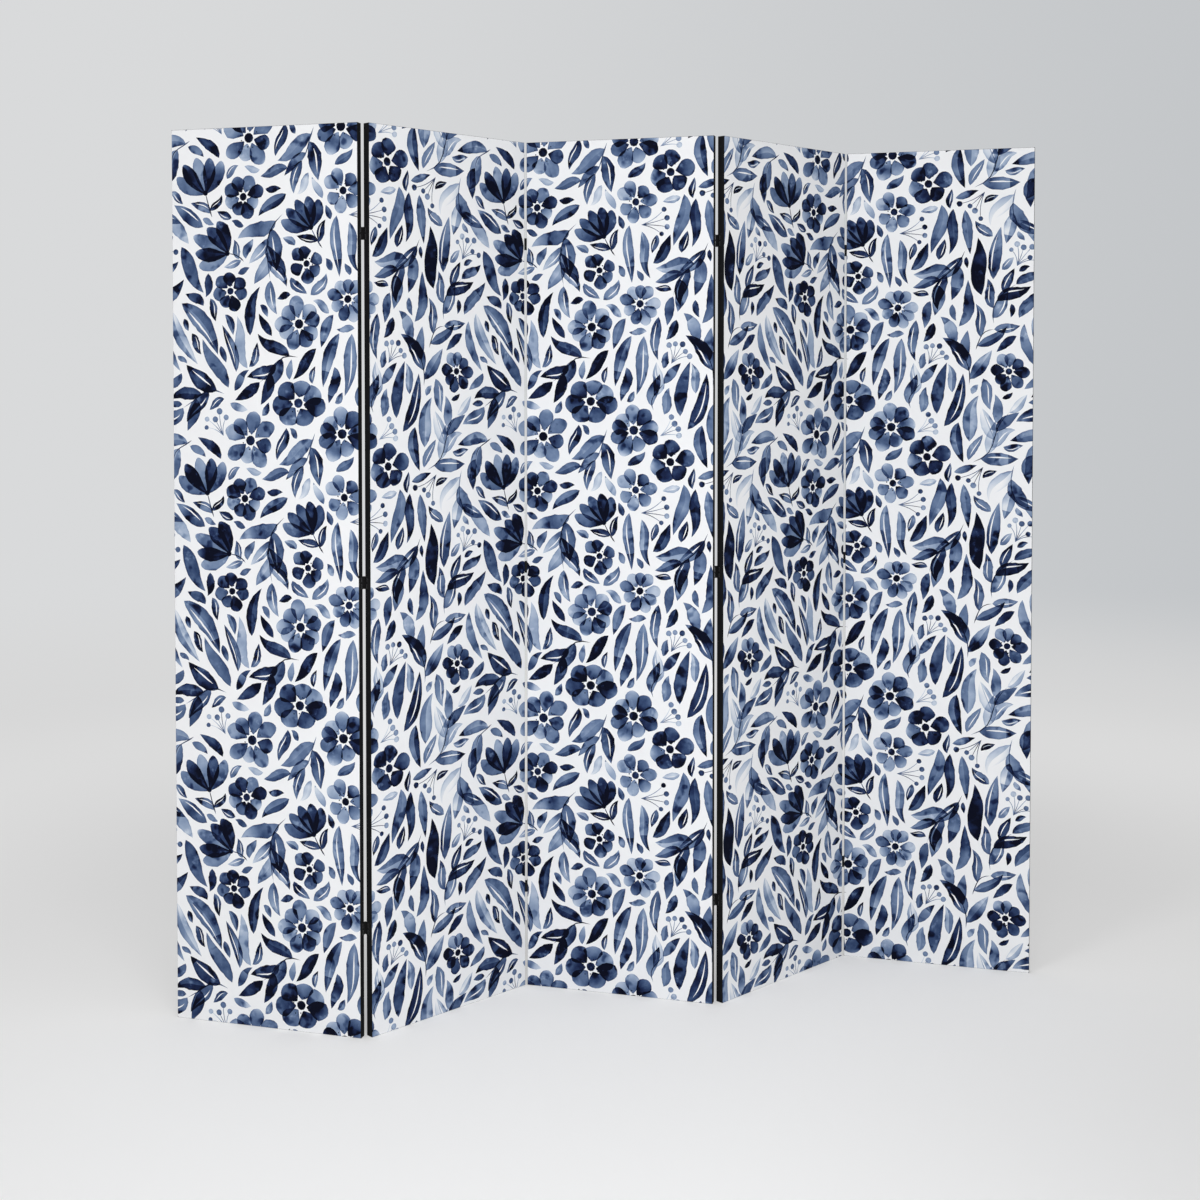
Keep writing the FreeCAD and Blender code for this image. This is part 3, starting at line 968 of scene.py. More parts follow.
@dataclass
class Brush:
    """Paints the print's motifs: generic leaves, fronds, blossoms and berries.

    A pair of values is the least and the most of what chance picks. Lengths that chance
    picks are in millimetres.
    """

    seed: int
    wobble: float = 0.04
    foot_drift: Range = (-0.12, 0.16)
    tip_drift: Range = (-0.26, 0.14)
    pool_place: Range = (0.15, 0.9)
    pool_tone: Range = (-0.16, 0.34)
    loads: tuple[tuple[float, Range], ...] = (
        (0.13, (0.28, 0.4)),
        (0.6, (0.46, 0.6)),
        (0.84, (0.6, 0.72)),
        (1.0, (0.76, 0.88)),
    )
    load_limits: Range = (0.2, 0.92)
    stem_gain: float = 0.14
    deepest_stem: float = 0.95
    deepest_frond: float = 0.78
    palest_tip: float = 0.16
    foot_gain: float = 0.25
    sliver_share: float = 0.42
    sliver_least: float = 32 * MM
    sliver_place: Range = (0.1, 0.45)
    touch_share: float = 0.36
    touch_least: float = 30 * MM
    touch_place: Range = (0.64, 0.88)
    half_share: float = 0.6
    half_drift: Range = (-0.24, 0.3)
    slim_blade: float = 0.3
    leaf_bend: Range = (-0.12, 0.12)
    leaf_sway: Range = (-0.045, 0.045)
    leaf_width: Range = (0.9, 1.12)
    loose_width: Range = (0.88, 1.12)
    blade_gap: Range = (22, 28)
    blade_splay: Range = (0.1, 0.26)
    blade_length: Range = (90, 132)
    blade_rise: Range = (-16, 16)
    blade_slim: Range = (0.21, 0.27)
    blade_spread: float = 0.26
    frond_foot: float = 22
    frond_pair: float = 37
    frond_bend: Range = (-0.22, 0.22)
    frond_sway: Range = (-0.07, 0.07)
    frond_stem: float = 2.6 * MM
    frond_steps: int = 40
    frond_place: Range = (0.14, 0.74)
    frond_drift: Range = (-0.15, 0.15)
    frond_splay: Range = (0.4, 0.66)
    frond_leaf: Range = (64, 86)
    frond_slim: Range = (0.31, 0.39)
    frond_taper: Range = (1.1, 0.3)
    frond_spread: float = 0.22
    frond_tip: Range = (54, 72)
    frond_tip_slim: float = 0.37
    frond_tip_spread: float = 0.2
    petals: tuple[int, int] = (6, 10)
    petal_drift: Range = (-0.12, 0.12)
    petal_width: Range = (0.66, 0.86)
    petal_reach: Range = (0.74, 1.06)
    petal_bend: Range = (-0.1, 0.1)
    petal_spread: float = 0.3
    petal_fade: float = 0.22
    core: float = 0.17
    core_gap: float = 1.2
    core_tone: float = 0.96
    stamens: tuple[int, int] = (7, 11)
    many_stamens: float = 32 * MM
    stamen_place: Range = (1.6, 2.2)
    stamen: float = 1.4 * MM
    cup_size: Range = (62, 80)
    cup_stem: Range = (34, 54)
    cup_bend: Range = (-0.14, 0.14)
    cup_stem_width: float = 2.8 * MM
    cup_leans: tuple[float, ...] = (-0.78, 0.78, -0.4, 0.4, 0.0)
    cup_reach: Range = (0.9, 1.08)
    cup_droop: float = 0.14
    cup_curl: float = 0.12
    cup_petal: float = 0.36
    cup_spread: float = 0.24
    cup_fade: float = 0.2
    cup_stem_gain: float = 0.1
    cup_base_rise: float = 2 * MM
    cup_base: float = 5.5 * MM
    cup_base_tone: float = 0.95
    cup_splay: Range = (0.7, 1.0)
    cup_leaf_place: Range = (0.55, 0.85)
    cup_leaf: Range = (34, 50)
    cup_leaf_slim: float = 0.38
    cup_leaf_spread: float = 0.15
    sprig_reach: Range = (52, 70)
    sprig_count: tuple[int, int] = (4, 7)
    sprig_splay: float = 0.33
    sprig_length: Range = (0.62, 1.0)
    sprig_stem: float = 1.8 * MM
    sprig_bend: float = 0.15
    berry: Range = (4.6, 6.6)
    berry_spread: float = 0.25

    def __post_init__(self) -> None:
        """Starts the brush's run of chances."""
        self.chance = np.random.default_rng(self.seed)

    def between(self, low: float, high: float) -> float:
        """A chance value between two others."""
        return float(self.chance.uniform(low, high))

    def often(self, share: float) -> bool:
        """Whether something that happens in a share of cases happens now."""
        return bool(self.chance.random() < share)

    def stroke(
        self,
        profile: Profile,
        start: Sequence[float],
        heading: float,
        length: float,
        width: float,
        load: float,
        bend: float = 0.0,
        sway: float = 0.0,
        **colour: float,
    ) -> Mark:
        """Lays one stroke.

        Args:
            profile: How its width runs.
            start: Its foot.
            heading: Direction from foot to tip.
            length: Foot to tip.
            width: Its widest.
            load: How much colour the brush carries, 0 to 1.
            bend: Swing of its middle, as a share of the length.
            sway: Swing one way and then the other, as a share of the length.
            **colour: Any of the mark's own colour values.

        Returns:
            The mark.
        """
        stations = profile.stations()
        wobble = 1 + self.chance.normal(0, self.wobble, len(stations))
        values = {
            "foot_tone": load + self.between(*self.foot_drift),
            "tip_tone": load + self.between(*self.tip_drift),
            "pool_place": self.between(*self.pool_place),
            "pool_tone": self.between(*self.pool_tone),
            "drift": self.between(0.0, 1.0),
        }
        values.update(colour)
        return Mark(
            spine=spine_of(start, heading, length, bend, sway, stations),
            half_width=width / 2 * profile.widths(stations) * wobble,
            **values,
        )

    def leaf(
        self, start: Sequence[float], heading: float, length: float, load: float, slim: float
    ) -> Mark:
        """Lays one leaf, now and then two-toned, with a bare sliver or a darker tip.

        Args:
            start: Its foot.
            heading: Direction from foot to tip.
            length: Foot to tip.
            load: How much colour the brush carries.
            slim: Width as a share of the length.

        Returns:
            The leaf.
        """
        profile = Profile.BLADE if slim < self.slim_blade else Profile.LEAF
        side = 1 if self.often(0.5) else -1
        colour: dict[str, float] = {}
        if self.often(self.sliver_share) and length > self.sliver_least:
            colour["sliver"] = side * self.between(*self.sliver_place)
        if self.often(self.touch_share) and length > self.touch_least:
            colour["touch"] = self.between(*self.touch_place)
        if self.often(self.half_share):
            colour["second_half"] = self.between(*self.half_drift)
        bend, sway = self.between(*self.leaf_bend), self.between(*self.leaf_sway)
        width = length * slim * self.between(*self.leaf_width)
        return self.stroke(profile, start, heading, length, width, load, bend, sway, **colour)

    def petal(
        self,
        start: Sequence[float],
        heading: float,
        length: float,
        width: float,
        load: float,
        bend: float,
        fade: float,
    ) -> Mark:
        """Lays one petal, deep at its foot and paler at its tip.

        Args:
            start: Its foot.
            heading: Direction from foot to tip.
            length: Foot to tip.
            width: Its widest.
            load: How much colour the brush carries.
            bend: Swing of its middle, as a share of the length.
            fade: How much paler its tip is.

        Returns:
            The petal.
        """
        tones = {
            "foot_tone": min(load + self.foot_gain, 1.0),
            "tip_tone": max(load - fade, self.palest_tip),
        }
        return self.stroke(Profile.PETAL, start, heading, length, width, load, bend, **tones)

    def bead(self, centre: Sequence[float], radius: float, tone: float) -> Mark:
        """A round dab.

        Args:
            centre: Its middle.
            radius: Its radius.
            tone: Its depth of colour.

        Returns:
            The dab.
        """
        start, size = (centre[0] - radius, centre[1]), 2 * radius
        colour = {"foot_tone": tone, "tip_tone": tone, "pool_tone": 0.0}
        return self.stroke(Profile.BEAD, start, 0.0, size, size, tone, **colour)

    def load(self) -> float:
        """How much colour the brush takes up: pale, two kinds of mid, or deep.

        Returns:
            The load, 0 to 1.
        """
        pick = self.chance.random()
        for limit, load in self.loads:
            if pick < limit:
                break
        return self.between(*load)

    def near(self, load: float, spread: float) -> float:
        """A load like another, within what a brush can carry."""
        return float(np.clip(load + self.between(-spread, spread), *self.load_limits))

    def loose_leaf(self, shortest: float, longest: float, slim: float) -> list[Mark]:
        """One leaf by itself.

        Args:
            shortest: Least length, in millimetres.
            longest: Most, in millimetres.
            slim: Width as a share of the length.

        Returns:
            Its marks.
        """
        length = self.between(shortest, longest) * MM
        load, width = self.load(), slim * self.between(*self.loose_width)
        return [self.leaf((0, -length / 2), QUARTER, length, load, width)]

    def blades(self, count: int) -> list[Mark]:
        """Long blades side by side, fanning a little from below.

        Args:
            count: How many.

        Returns:
            Their marks.
        """
        marks, load = [], self.load()
        gap = self.between(*self.blade_gap) * MM
        for k in range(count):
            place = k - (count - 1) / 2
            heading = QUARTER - place * self.between(*self.blade_splay)
            length = self.between(*self.blade_length) * MM
            start = (place * gap, -length / 2 + self.between(*self.blade_rise) * MM)
            tone = self.near(load, self.blade_spread)
            slim = self.between(*self.blade_slim)
            marks.append(self.leaf(start, heading, length, tone, slim))
        return marks

    def frond(self, pairs: int) -> list[Mark]:
        """A bent stem with broad leaves in turn to its left and right.

        Args:
            pairs: Leaves on one side.

        Returns:
            Its marks, the stem first.
        """
        length = (self.frond_foot + self.frond_pair * pairs) * MM
        bend, sway = self.between(*self.frond_bend), self.between(*self.frond_sway)
        load = self.load()
        start, stem_load = (0, -length / 2), min(load + self.stem_gain, self.deepest_stem)
        run = (start, QUARTER, length)
        marks = [self.stroke(Profile.STEM, *run, self.frond_stem, stem_load, bend, sway)]
        fine = spine_of(*run, bend, sway, np.linspace(0, 1, self.frond_steps + 1))
        lowest, reach = self.frond_place
        full, waning = self.frond_taper
        for k in range(2 * pairs):
            place = lowest + reach * (k + self.between(*self.frond_drift)) / (2 * pairs)
            index = int(np.clip(place * self.frond_steps, 0, self.frond_steps - 1))
            along = fine[index + 1] - fine[index]
            side = 1 if k % 2 else -1
            heading = math.atan2(along[1], along[0]) + side * self.between(*self.frond_splay)
            size = self.between(*self.frond_leaf) * MM * (full - waning * place)
            tone = min(self.near(load, self.frond_spread), self.deepest_frond)
            slim = self.between(*self.frond_slim)
            marks.append(self.leaf(fine[index], heading, size, tone, slim))
        along = fine[-1] - fine[-4]
        heading, size = math.atan2(along[1], along[0]), self.between(*self.frond_tip) * MM
        tone = self.near(load, self.frond_tip_spread)
        marks.append(self.leaf(fine[-1], heading, size, tone, self.frond_tip_slim))
        return marks

    def open_blossom(self, smallest: float, largest: float) -> list[Mark]:
        """A round blossom seen from the front: petals, a centre and its stamens.

        Args:
            smallest: Least centre to petal tips, in millimetres.
            largest: Most, in millimetres.

        Returns:
            Its marks.
        """
        radius = self.between(smallest, largest) * MM
        petals = int(self.chance.integers(*self.petals))
        load, marks = self.load(), []
        spin, core = self.between(0, math.tau), self.core * radius
        width = math.tau * radius / petals * self.between(*self.petal_width)
        foot = core * self.core_gap
        for k in range(petals):
            heading = spin + math.tau * (k + self.between(*self.petal_drift)) / petals
            reach = (radius - foot) * self.between(*self.petal_reach)
            tone = self.near(load, self.petal_spread)
            bend, start = self.between(*self.petal_bend), polar(heading, foot)
            marks.append(self.petal(start, heading, reach, width, tone, bend, self.petal_fade))
        marks.append(self.bead((0, 0), core, self.core_tone))
        few, many = self.stamens
        dots = many if radius > self.many_stamens else few
        for k in range(dots):
            out = core * self.between(*self.stamen_place)
            spot = polar(spin + math.tau * k / dots, out)
            marks.append(self.bead(spot, self.stamen, 1.0))
        return marks

    def cup_blossom(self) -> list[Mark]:
        """A blossom seen from the side, open upwards, on a short stem with two leaves.

        Returns:
            Its marks, the stem first.
        """
        load, marks = self.load(), []
        size, stem = self.between(*self.cup_size) * MM, self.between(*self.cup_stem) * MM
        bend = self.between(*self.cup_bend)
        tone = min(load + self.cup_stem_gain, self.deepest_stem)
        run = ((0, -stem), QUARTER, stem, self.cup_stem_width)
        marks.append(self.stroke(Profile.STEM, *run, tone, bend))
        for lean in self.cup_leans:
            tone = self.near(load, self.cup_spread)
            reach = size * self.between(*self.cup_reach) * (1.0 - self.cup_droop * abs(lean))
            run = ((0, 0), QUARTER + lean, reach, size * self.cup_petal)
            marks.append(self.petal(*run, tone, lean * self.cup_curl, self.cup_fade))
        marks.append(self.bead((0, self.cup_base_rise), self.cup_base, self.cup_base_tone))
        for side in (-1, 1):
            heading = QUARTER + side * self.between(*self.cup_splay)
            start = (0, -stem * self.between(*self.cup_leaf_place))
            length = self.between(*self.cup_leaf) * MM
            tone = self.near(load, self.cup_leaf_spread)
            marks.append(self.leaf(start, heading, length, tone, self.cup_leaf_slim))
        return marks

    def berries(self) -> list[Mark]:
        """A sprig that ends in round berries.

        Returns:
            Its marks.
        """
        load, marks = self.load(), []
        reach = self.between(*self.sprig_reach) * MM
        count = int(self.chance.integers(*self.sprig_count))
        foot = (0, -reach / 2)
        for k in range(count):
            lean = (k - (count - 1) / 2) * self.sprig_splay
            length = reach * self.between(*self.sprig_length)
            run = (foot, QUARTER - lean, length, self.sprig_stem)
            marks.append(self.stroke(Profile.STEM, *run, load, lean * self.sprig_bend))
            across, up = polar(QUARTER - lean, length)
            radius, tone = self.between(*self.berry) * MM, self.near(load, self.berry_spread)
            marks.append(self.bead((foot[0] + across, foot[1] + up), radius, tone))
        return marks


@dataclass
class Repeat:
    """One repeat of the print, laid out edge to edge so that it joins onto itself."""

    across: float = 666.7 * MM
    up: float = 593.4 * MM
    cell: float = 2 * MM
    seed: int = 47
    rounds: int = 9
    choices: int = 6
    large_tries: int = 160
    small_tries: int = 260
    snug_reach: int = 4
    probe: int = 9
    marks: list[Mark] = field(default_factory=list)

    def __post_init__(self) -> None:
        """Starts with bare cloth."""
        self.shape = (int(self.across / self.cell), int(self.up / self.cell))
        self.taken = np.zeros(self.shape, dtype=bool)
        self.brush = Brush(self.seed)

    def cells(self, points: np.ndarray) -> tuple[np.ndarray, np.ndarray]:
        """Cells of the layout that points lie in.

        Args:
            points: Points, one to a row.

        Returns:
            Indices across and up.
        """
        index = np.floor(points / self.cell).astype(int)
        return index[:, 0] % self.shape[0], index[:, 1] % self.shape[1]

    def spread(self, taken: np.ndarray, reach: int) -> np.ndarray:
        """Grows the taken cells.

        Args:
            taken: The taken cells.
            reach: By how many cells.

        Returns:
            The grown cells.
        """
        for axis in (0, 1):
            grown = taken.copy()
            for step in range(1, reach + 1):
                grown |= np.roll(taken, step, axis) | np.roll(taken, -step, axis)
            taken = grown
        return taken

    def try_motif(self, motif: list[Mark], tries: int, lean: float) -> bool:
        """Looks for free places for a motif and lays it in the snuggest.

        Args:
            motif: Its marks.
            tries: Places to try.
            lean: Largest lean from the upright, in radians.

        Returns:
            Whether it found a place.
        """
        chance = self.brush.chance
        points = np.concatenate([mark.footprint() for mark in motif])
        middle = (points.min(0) + points.max(0)) / 2
        points = points - middle
        free, near = np.argwhere(~self.taken), self.spread(self.taken, self.snug_reach)
        best, snug, found = None, -1.0, 0
        for _ in range(tries):
            turn = float(chance.uniform(-lean, lean)) + (math.pi if chance.random() < 0.5 else 0.0)
            spot = (free[chance.integers(len(free))] + chance.random(2)) * self.cell
            spin = spin_of(turn)
            if self.taken[self.cells(points[:: self.probe] @ spin + spot)].any():
                continue
            i, j = self.cells(points @ spin + spot)
            if self.taken[i, j].any():
                continue
            found += 1
            touching = float(near[i, j].mean())
            if touching > snug:
                best, snug = (turn, spot, i, j), touching
            if found == self.choices:
                break
        if best is None:
            return False
        turn, spot, i, j = best
        for di in (-1, 0, 1):
            for dj in (-1, 0, 1):
                self.taken[(i + di) % self.shape[0], (j + dj) % self.shape[1]] = True
        for mark in motif:
            self.marks.append(replace(mark, spine=mark.spine - middle).moved(turn, spot))
        return True

    def paint(self) -> "Repeat":
        """Lays the large motifs in turn and fills the gaps with ever smaller leaves.

        Returns:
            The repeat itself, painted.
        """
        brush = self.brush
        large: list[tuple[Callable[[], list[Mark]], float]] = [
            (lambda: brush.open_blossom(50, 60), math.pi),
            (lambda: brush.frond(3), 0.9),
            (lambda: brush.blades(3), 0.5),
            (brush.cup_blossom, 1.2),
            (lambda: brush.frond(2), 1.3),
            (lambda: brush.open_blossom(38, 48), math.pi),
            (lambda: brush.blades(2), 0.6),
            (lambda: brush.frond(2), 0.7),
        ]
        laid = 0
        for _ in range(self.rounds):
            for make, lean in large:
                laid += self.try_motif(make(), self.large_tries, lean)
        LOG.info("print: %d large motifs", laid)
        small: list[tuple[Callable[[], list[Mark]], int, float]] = [
            (lambda: brush.frond(1), 24, 1.6),
            (brush.berries, 6, 1.6),
            (lambda: brush.loose_leaf(82, 106, 0.26), 30, 0.8),
            (lambda: brush.loose_leaf(62, 80, 0.32), 40, 1.0),
            (lambda: brush.loose_leaf(46, 58, 0.37), 60, 1.3),
            (lambda: brush.loose_leaf(34, 44, 0.4), 60, 1.6),
            (lambda: brush.loose_leaf(24, 30, 0.44), 30, 1.6),
        ]
        for make, count, lean in small:
            laid = sum(self.try_motif(make(), self.small_tries, lean) for _ in range(count))
            LOG.info("print: %d of %d small motifs", laid, count)
        share = 100 * self.taken.mean()
        LOG.info("print: %d marks take %.0f%% of the cells", len(self.marks), share)
        return self

    def over(self, low: np.ndarray, high: np.ndarray) -> Iterator[tuple[Mark, np.ndarray]]:
        """Marks of all the repeats that reach into a rectangle.

        Args:
            low: Its lower left corner.
            high: Its upper right corner.

        Yields:
            Each mark, as in the first repeat, and its shift from there.
        """
        size = np.array([self.across, self.up])
        first = np.floor(low / size).astype(int) - 1
        last = np.ceil(high / size).astype(int) + 1
        for i in range(first[0], last[0]):
            for j in range(first[1], last[1]):
                shift = np.array([i, j]) * size
                for mark in self.marks:
                    least, most = mark.box
                    if (least + shift < high).all() and (most + shift > low).all():
                        yield mark, shift


def clip(points: np.ndarray, fence: np.ndarray) -> np.ndarray:
    """Cuts a polygon to what lies inside a convex one.

    Args:
        points: The polygon's corners.
        fence: The convex polygon's corners, anticlockwise.

    Returns:
        Corners of what is left, perhaps none.
    """
    for start, end in zip(fence, np.roll(fence, -1, axis=0)):
        run = end - start
        off = run[0] * (points[:, 1] - start[1]) - run[1] * (points[:, 0] - start[0])
        if (off >= 0).all():
            continue
        if (off < 0).all():
            return np.zeros((0, 2))
        kept = []
        for k in range(len(points)):
            here, after = off[k], off[(k + 1) % len(points)]
            if here >= 0:
                kept.append(points[k])
            if (here >= 0) != (after >= 0):
                share = here / (here - after)
                kept.append(points[k] + share * (points[(k + 1) % len(points)] - points[k]))
        points = np.array(kept)
    return points


def area_of(points: np.ndarray) -> float:
    """Area of a polygon, above 0 where its corners run anticlockwise."""
    after = np.roll(points, -1, axis=0)
    return float((points[:, 0] * after[:, 1] - points[:, 1] * after[:, 0]).sum() / 2)


@dataclass(frozen=True)
class Wrap:
    """The way a sheet goes from the front of a panel round its edge to its back."""

    half_across: float
    half_up: float
    depth: float
    front_radius: float
    back_radius: float
    tail: float
    front_steps: int = 6
    back_steps: int = 3

    def stations(self) -> list[float]:
        """Distances past the flat front at which the sheet is creased.

        Returns:
            The distances, from the flat front to the hem.
        """
        steps = self.front_steps
        front = [self.front_radius * QUARTER * k / steps for k in range(steps + 1)]
        side = front[-1] + self.depth - self.front_radius - self.back_radius
        steps = self.back_steps
        back = [side + self.back_radius * QUARTER * k / steps for k in range(steps + 1)]
        return front + back + [back[-1] + self.tail - self.back_radius]

    def fold(self, past: np.ndarray) -> tuple[np.ndarray, np.ndarray]:
        """Where a distance past the flat front ends up.

        Args:
            past: Distances along the sheet.

        Returns:
            How far out, counted from the flat front's edge, and how deep.
        """
        front = self.front_radius * QUARTER
        side = front + self.depth - self.front_radius - self.back_radius
        back = side + self.back_radius * QUARTER
        one = np.clip(past, 0, front) / self.front_radius
        two = np.clip(past - side, 0, back - side) / self.back_radius
        out = self.front_radius * np.sin(one) - self.back_radius * (1 - np.cos(two))
        deep = self.front_radius * (1 - np.cos(one)) + np.clip(past - front, 0, side - front)
        deep = deep + self.back_radius * np.sin(two)
        return out - np.clip(past - back, 0, None), deep

    @property
    def flat_across(self) -> float:
        """Middle to the edge of the flat front, across."""
        return self.half_across - self.front_radius

    @property
    def flat_up(self) -> float:
        """Middle to the edge of the flat front, up."""
        return self.half_up - self.front_radius

    def place(self, flat: np.ndarray) -> np.ndarray:
        """Folds points of the flat cut round the panel.

        Args:
            flat: Points of the cut, centred on the panel's front.

        Returns:
            Points across, deep and up, centred on the front.
        """
        over = np.abs(flat) - np.array([self.flat_across, self.flat_up])
        sideways = (over[:, 0] > 0) & (over[:, 0] >= over[:, 1])
        endways = (over[:, 1] > 0) & ~sideways
        out_x, deep_x = self.fold(np.clip(over[:, 0], 0, None))
        out_z, deep_z = self.fold(np.clip(over[:, 1], 0, None))
        across = np.where(sideways, np.sign(flat[:, 0]) * (self.flat_across + out_x), flat[:, 0])
        up = np.where(endways, np.sign(flat[:, 1]) * (self.flat_up + out_z), flat[:, 1])
        deep = np.where(sideways, deep_x, np.where(endways, deep_z, 0.0))
        return np.stack([across, deep, up], axis=1)

    def cut(self) -> tuple[np.ndarray, list[tuple[np.ndarray, np.ndarray]]]:
        """Outline of the flat cut, and its crease lines.

        Returns:
            The outline's corners, anticlockwise, and the two ends of each crease.
        """
        past = np.array(self.stations())
        out, _ = self.fold(past)
        side = np.stack([self.flat_across + past, self.flat_up + out], axis=1)
        end = np.stack([self.flat_across + out, self.flat_up + past], axis=1)
        corner = np.concatenate([side[::-1], end[1:]])
        flips = [(1, 1), (-1, 1), (-1, -1), (1, -1)]
        turned = [corner * flip for flip in flips]
        outline = [run if x * y > 0 else run[::-1] for run, (x, y) in zip(turned, flips)]
        creases = []
        for low, high in ((side, side * (1, -1)), (end, end * (-1, 1))):
            creases += list(zip(low, high)) + list(zip(-low, -high))
        return np.concatenate(outline), creases


@dataclass
class PrintedPanelCloth:
    """The canvas of one panel: printed front, black sides, and a return on the back."""

    sizes: ScreenSizes
    panel: int
    print_repeat: Repeat
    edge_radius: float = 1.2 * MM
    back_radius: float = 0.8 * MM
    print_overrun: float = 0.75 * MM
    touch_depth: float = 0.3
    laid_over: float = 0.8
    join: float = 2e-6
    weld: float = 1e-6

    @property
    def wrap(self) -> Wrap:
        """The canvas's way round the frame, outside.

        Returns:
            The wrap of its outer face.
        """
        s = self.sizes
        return Wrap(
            half_across=s.width / 2,
            half_up=s.height / 2,
            depth=s.thickness - s.cloth,
            front_radius=self.edge_radius,
            back_radius=self.back_radius,
            tail=s.canvas_return,
        )

    def fence(self) -> np.ndarray:
        """Edge of the print on the flat cut, clear of the corners' mitres.

        Returns:
            Its eight corners, anticlockwise.
        """
        a, b, e = self.wrap.flat_across, self.wrap.flat_up, self.print_overrun
        corner = np.array([(a + e, b - e), (a - e, b + e)])
        others = [corner[::-1] * (-1, 1), corner * (-1, -1), corner[::-1] * (1, -1)]
        return np.concatenate([corner, *others])

    def polygons(
        self, laid: Sequence[tuple[Mark, np.ndarray]]
    ) -> tuple[list[np.ndarray], list[tuple[Part, int]]]:
        """Outlines that divide the cut, each with what it stands for.

        Args:
            laid: The marks that reach onto this panel, and their shifts.

        Returns:
            The polygons, and for each its part and the number of its mark.
        """
        fence = self.fence()
        inner = np.array([self.wrap.flat_across, self.wrap.flat_up]) - self.print_overrun
        shapes, parts = [self.wrap.cut()[0], fence], [(Part.CUT, -1), (Part.FRONT, -1)]
        for number, (mark, shift) in enumerate(laid):
            whole = (np.abs(mark.parts[Part.WASH] + shift) < inner).all()
            for part, line in mark.parts.items():
                inside = line + shift if whole else clip(line + shift, fence)
                if len(inside) > 2:
                    shapes.append(inside)
                    parts.append((part, number))
        return shapes, parts

    def divide(
        self, shapes: Sequence[np.ndarray]
    ) -> tuple[np.ndarray, np.ndarray, list[list[int]]]:
        """Divides the cut into triangles along all the outlines and creases.

        Args:
            shapes: The outlines.

        Returns:
            The corners, the triangles, and for each triangle the outlines round it.
        """
        points = [Vector(p) for shape in shapes for p in shape]
        faces, first = [], 0
        for shape in shapes:
            faces.append(list(range(first, first + len(shape))))
            first += len(shape)
        creases = []
        for low, high in self.wrap.cut()[1]:
            points += [Vector(low), Vector(high)]
            creases.append((len(points) - 2, len(points) - 1))
        made = delaunay_2d_cdt(points, creases, faces, 1, self.join, True)
        inside = [k for k, around in enumerate(made[5]) if 0 in around]
        corners = np.array([tuple(p) for p in made[0]])
        triangles = np.array([made[2][k] for k in inside])
        return corners, triangles, [made[5][k] for k in inside]

    def ink(
        self,
        corners: np.ndarray,
        triangles: np.ndarray,
        around: list[list[int]],
        laid: Sequence[tuple[Mark, np.ndarray]],
        parts: Sequence[tuple[Part, int]],
    ) -> np.ndarray:
        """Works out the colour at each corner of each triangle.

        Args:
            corners: Points of the cut.
            triangles: Corner numbers.
            around: Outlines round each triangle.
            laid: The print's marks and their shifts.
            parts: What each outline stands for.

        Returns:
            Depth, drift, blackness and one, for each corner of each triangle.
        """
        pairs = np.array([(shape, k) for k, shapes in enumerate(around) for shape in shapes])
        pairs = pairs[np.argsort(pairs[:, 0], kind="stable")]
        starts = np.searchsorted(pairs[:, 0], np.arange(len(parts) + 1))
        inside = {part: pairs[starts[k] : starts[k + 1], 1] for k, part in enumerate(parts)}
        clear = np.ones((len(triangles), 3))
        drift = np.full((len(triangles), 3), 0.5)
        for (part, number), chosen in inside.items():
            if part is not Part.WASH or not len(chosen):
                continue
            mark, shift = laid[number]
            tone = mark.tone_at(corners[triangles[chosen]].reshape(-1, 2) - shift).reshape(-1, 3)
            steps = {Part.HALF: mark.second_half, Part.TOUCH: self.touch_depth, Part.SLIVER: -1.0}
            for inner, change in steps.items():
                if (inner, number) in inside:
                    tone[np.isin(chosen, inside[inner, number])] += change
            clear[chosen] *= 1 - self.laid_over * np.clip(tone, 0, 1)
            drift[chosen] = mark.drift
        black = np.ones((len(triangles), 3))
        black[inside[Part.FRONT, -1]] = 0.0
        return np.stack([(1 - clear) / self.laid_over, drift, black, np.ones_like(black)], axis=2)

    def line(self, shell: bmesh.types.BMesh) -> None:
        """Adds the inside of the canvas and closes its hem.

        Args:
            shell: The outside, open at its hem.
        """
        s, t = self.sizes, self.sizes.canvas
        inner = Wrap(
            half_across=s.width / 2 - t,
            half_up=s.height / 2 - t,
            depth=self.wrap.depth - 2 * t,
            front_radius=self.edge_radius - t,
            back_radius=self.back_radius - t,
            tail=self.wrap.tail - t,
        )
        hem = [edge for edge in shell.edges if edge.is_boundary]
        ring = bmesh.ops.create_grid(shell, x_segments=1, y_segments=1, size=1.0)["verts"]
        for vertex in ring:
            across, up, _ = vertex.co
            vertex.co = (across * inner.flat_across, t, up * inner.flat_up)
        edges = list(ring[0].link_faces[0].edges)
        for past in inner.stations()[1:]:
            out, deep = (float(value) for value in inner.fold(np.array(past)))
            grown = bmesh.ops.extrude_edge_only(shell, edges=edges)["geom"]
            for vertex in (g for g in grown if isinstance(g, bmesh.types.BMVert)):
                vertex.co.x = math.copysign(inner.flat_across + out, vertex.co.x)
                vertex.co.z = math.copysign(inner.flat_up + out, vertex.co.z)
                vertex.co.y = t + deep
            edges = [g for g in grown if isinstance(g, bmesh.types.BMEdge) and g.is_boundary]
        bmesh.ops.bridge_loops(shell, edges=hem + edges)
        bmesh.ops.recalc_face_normals(shell, faces=shell.faces)

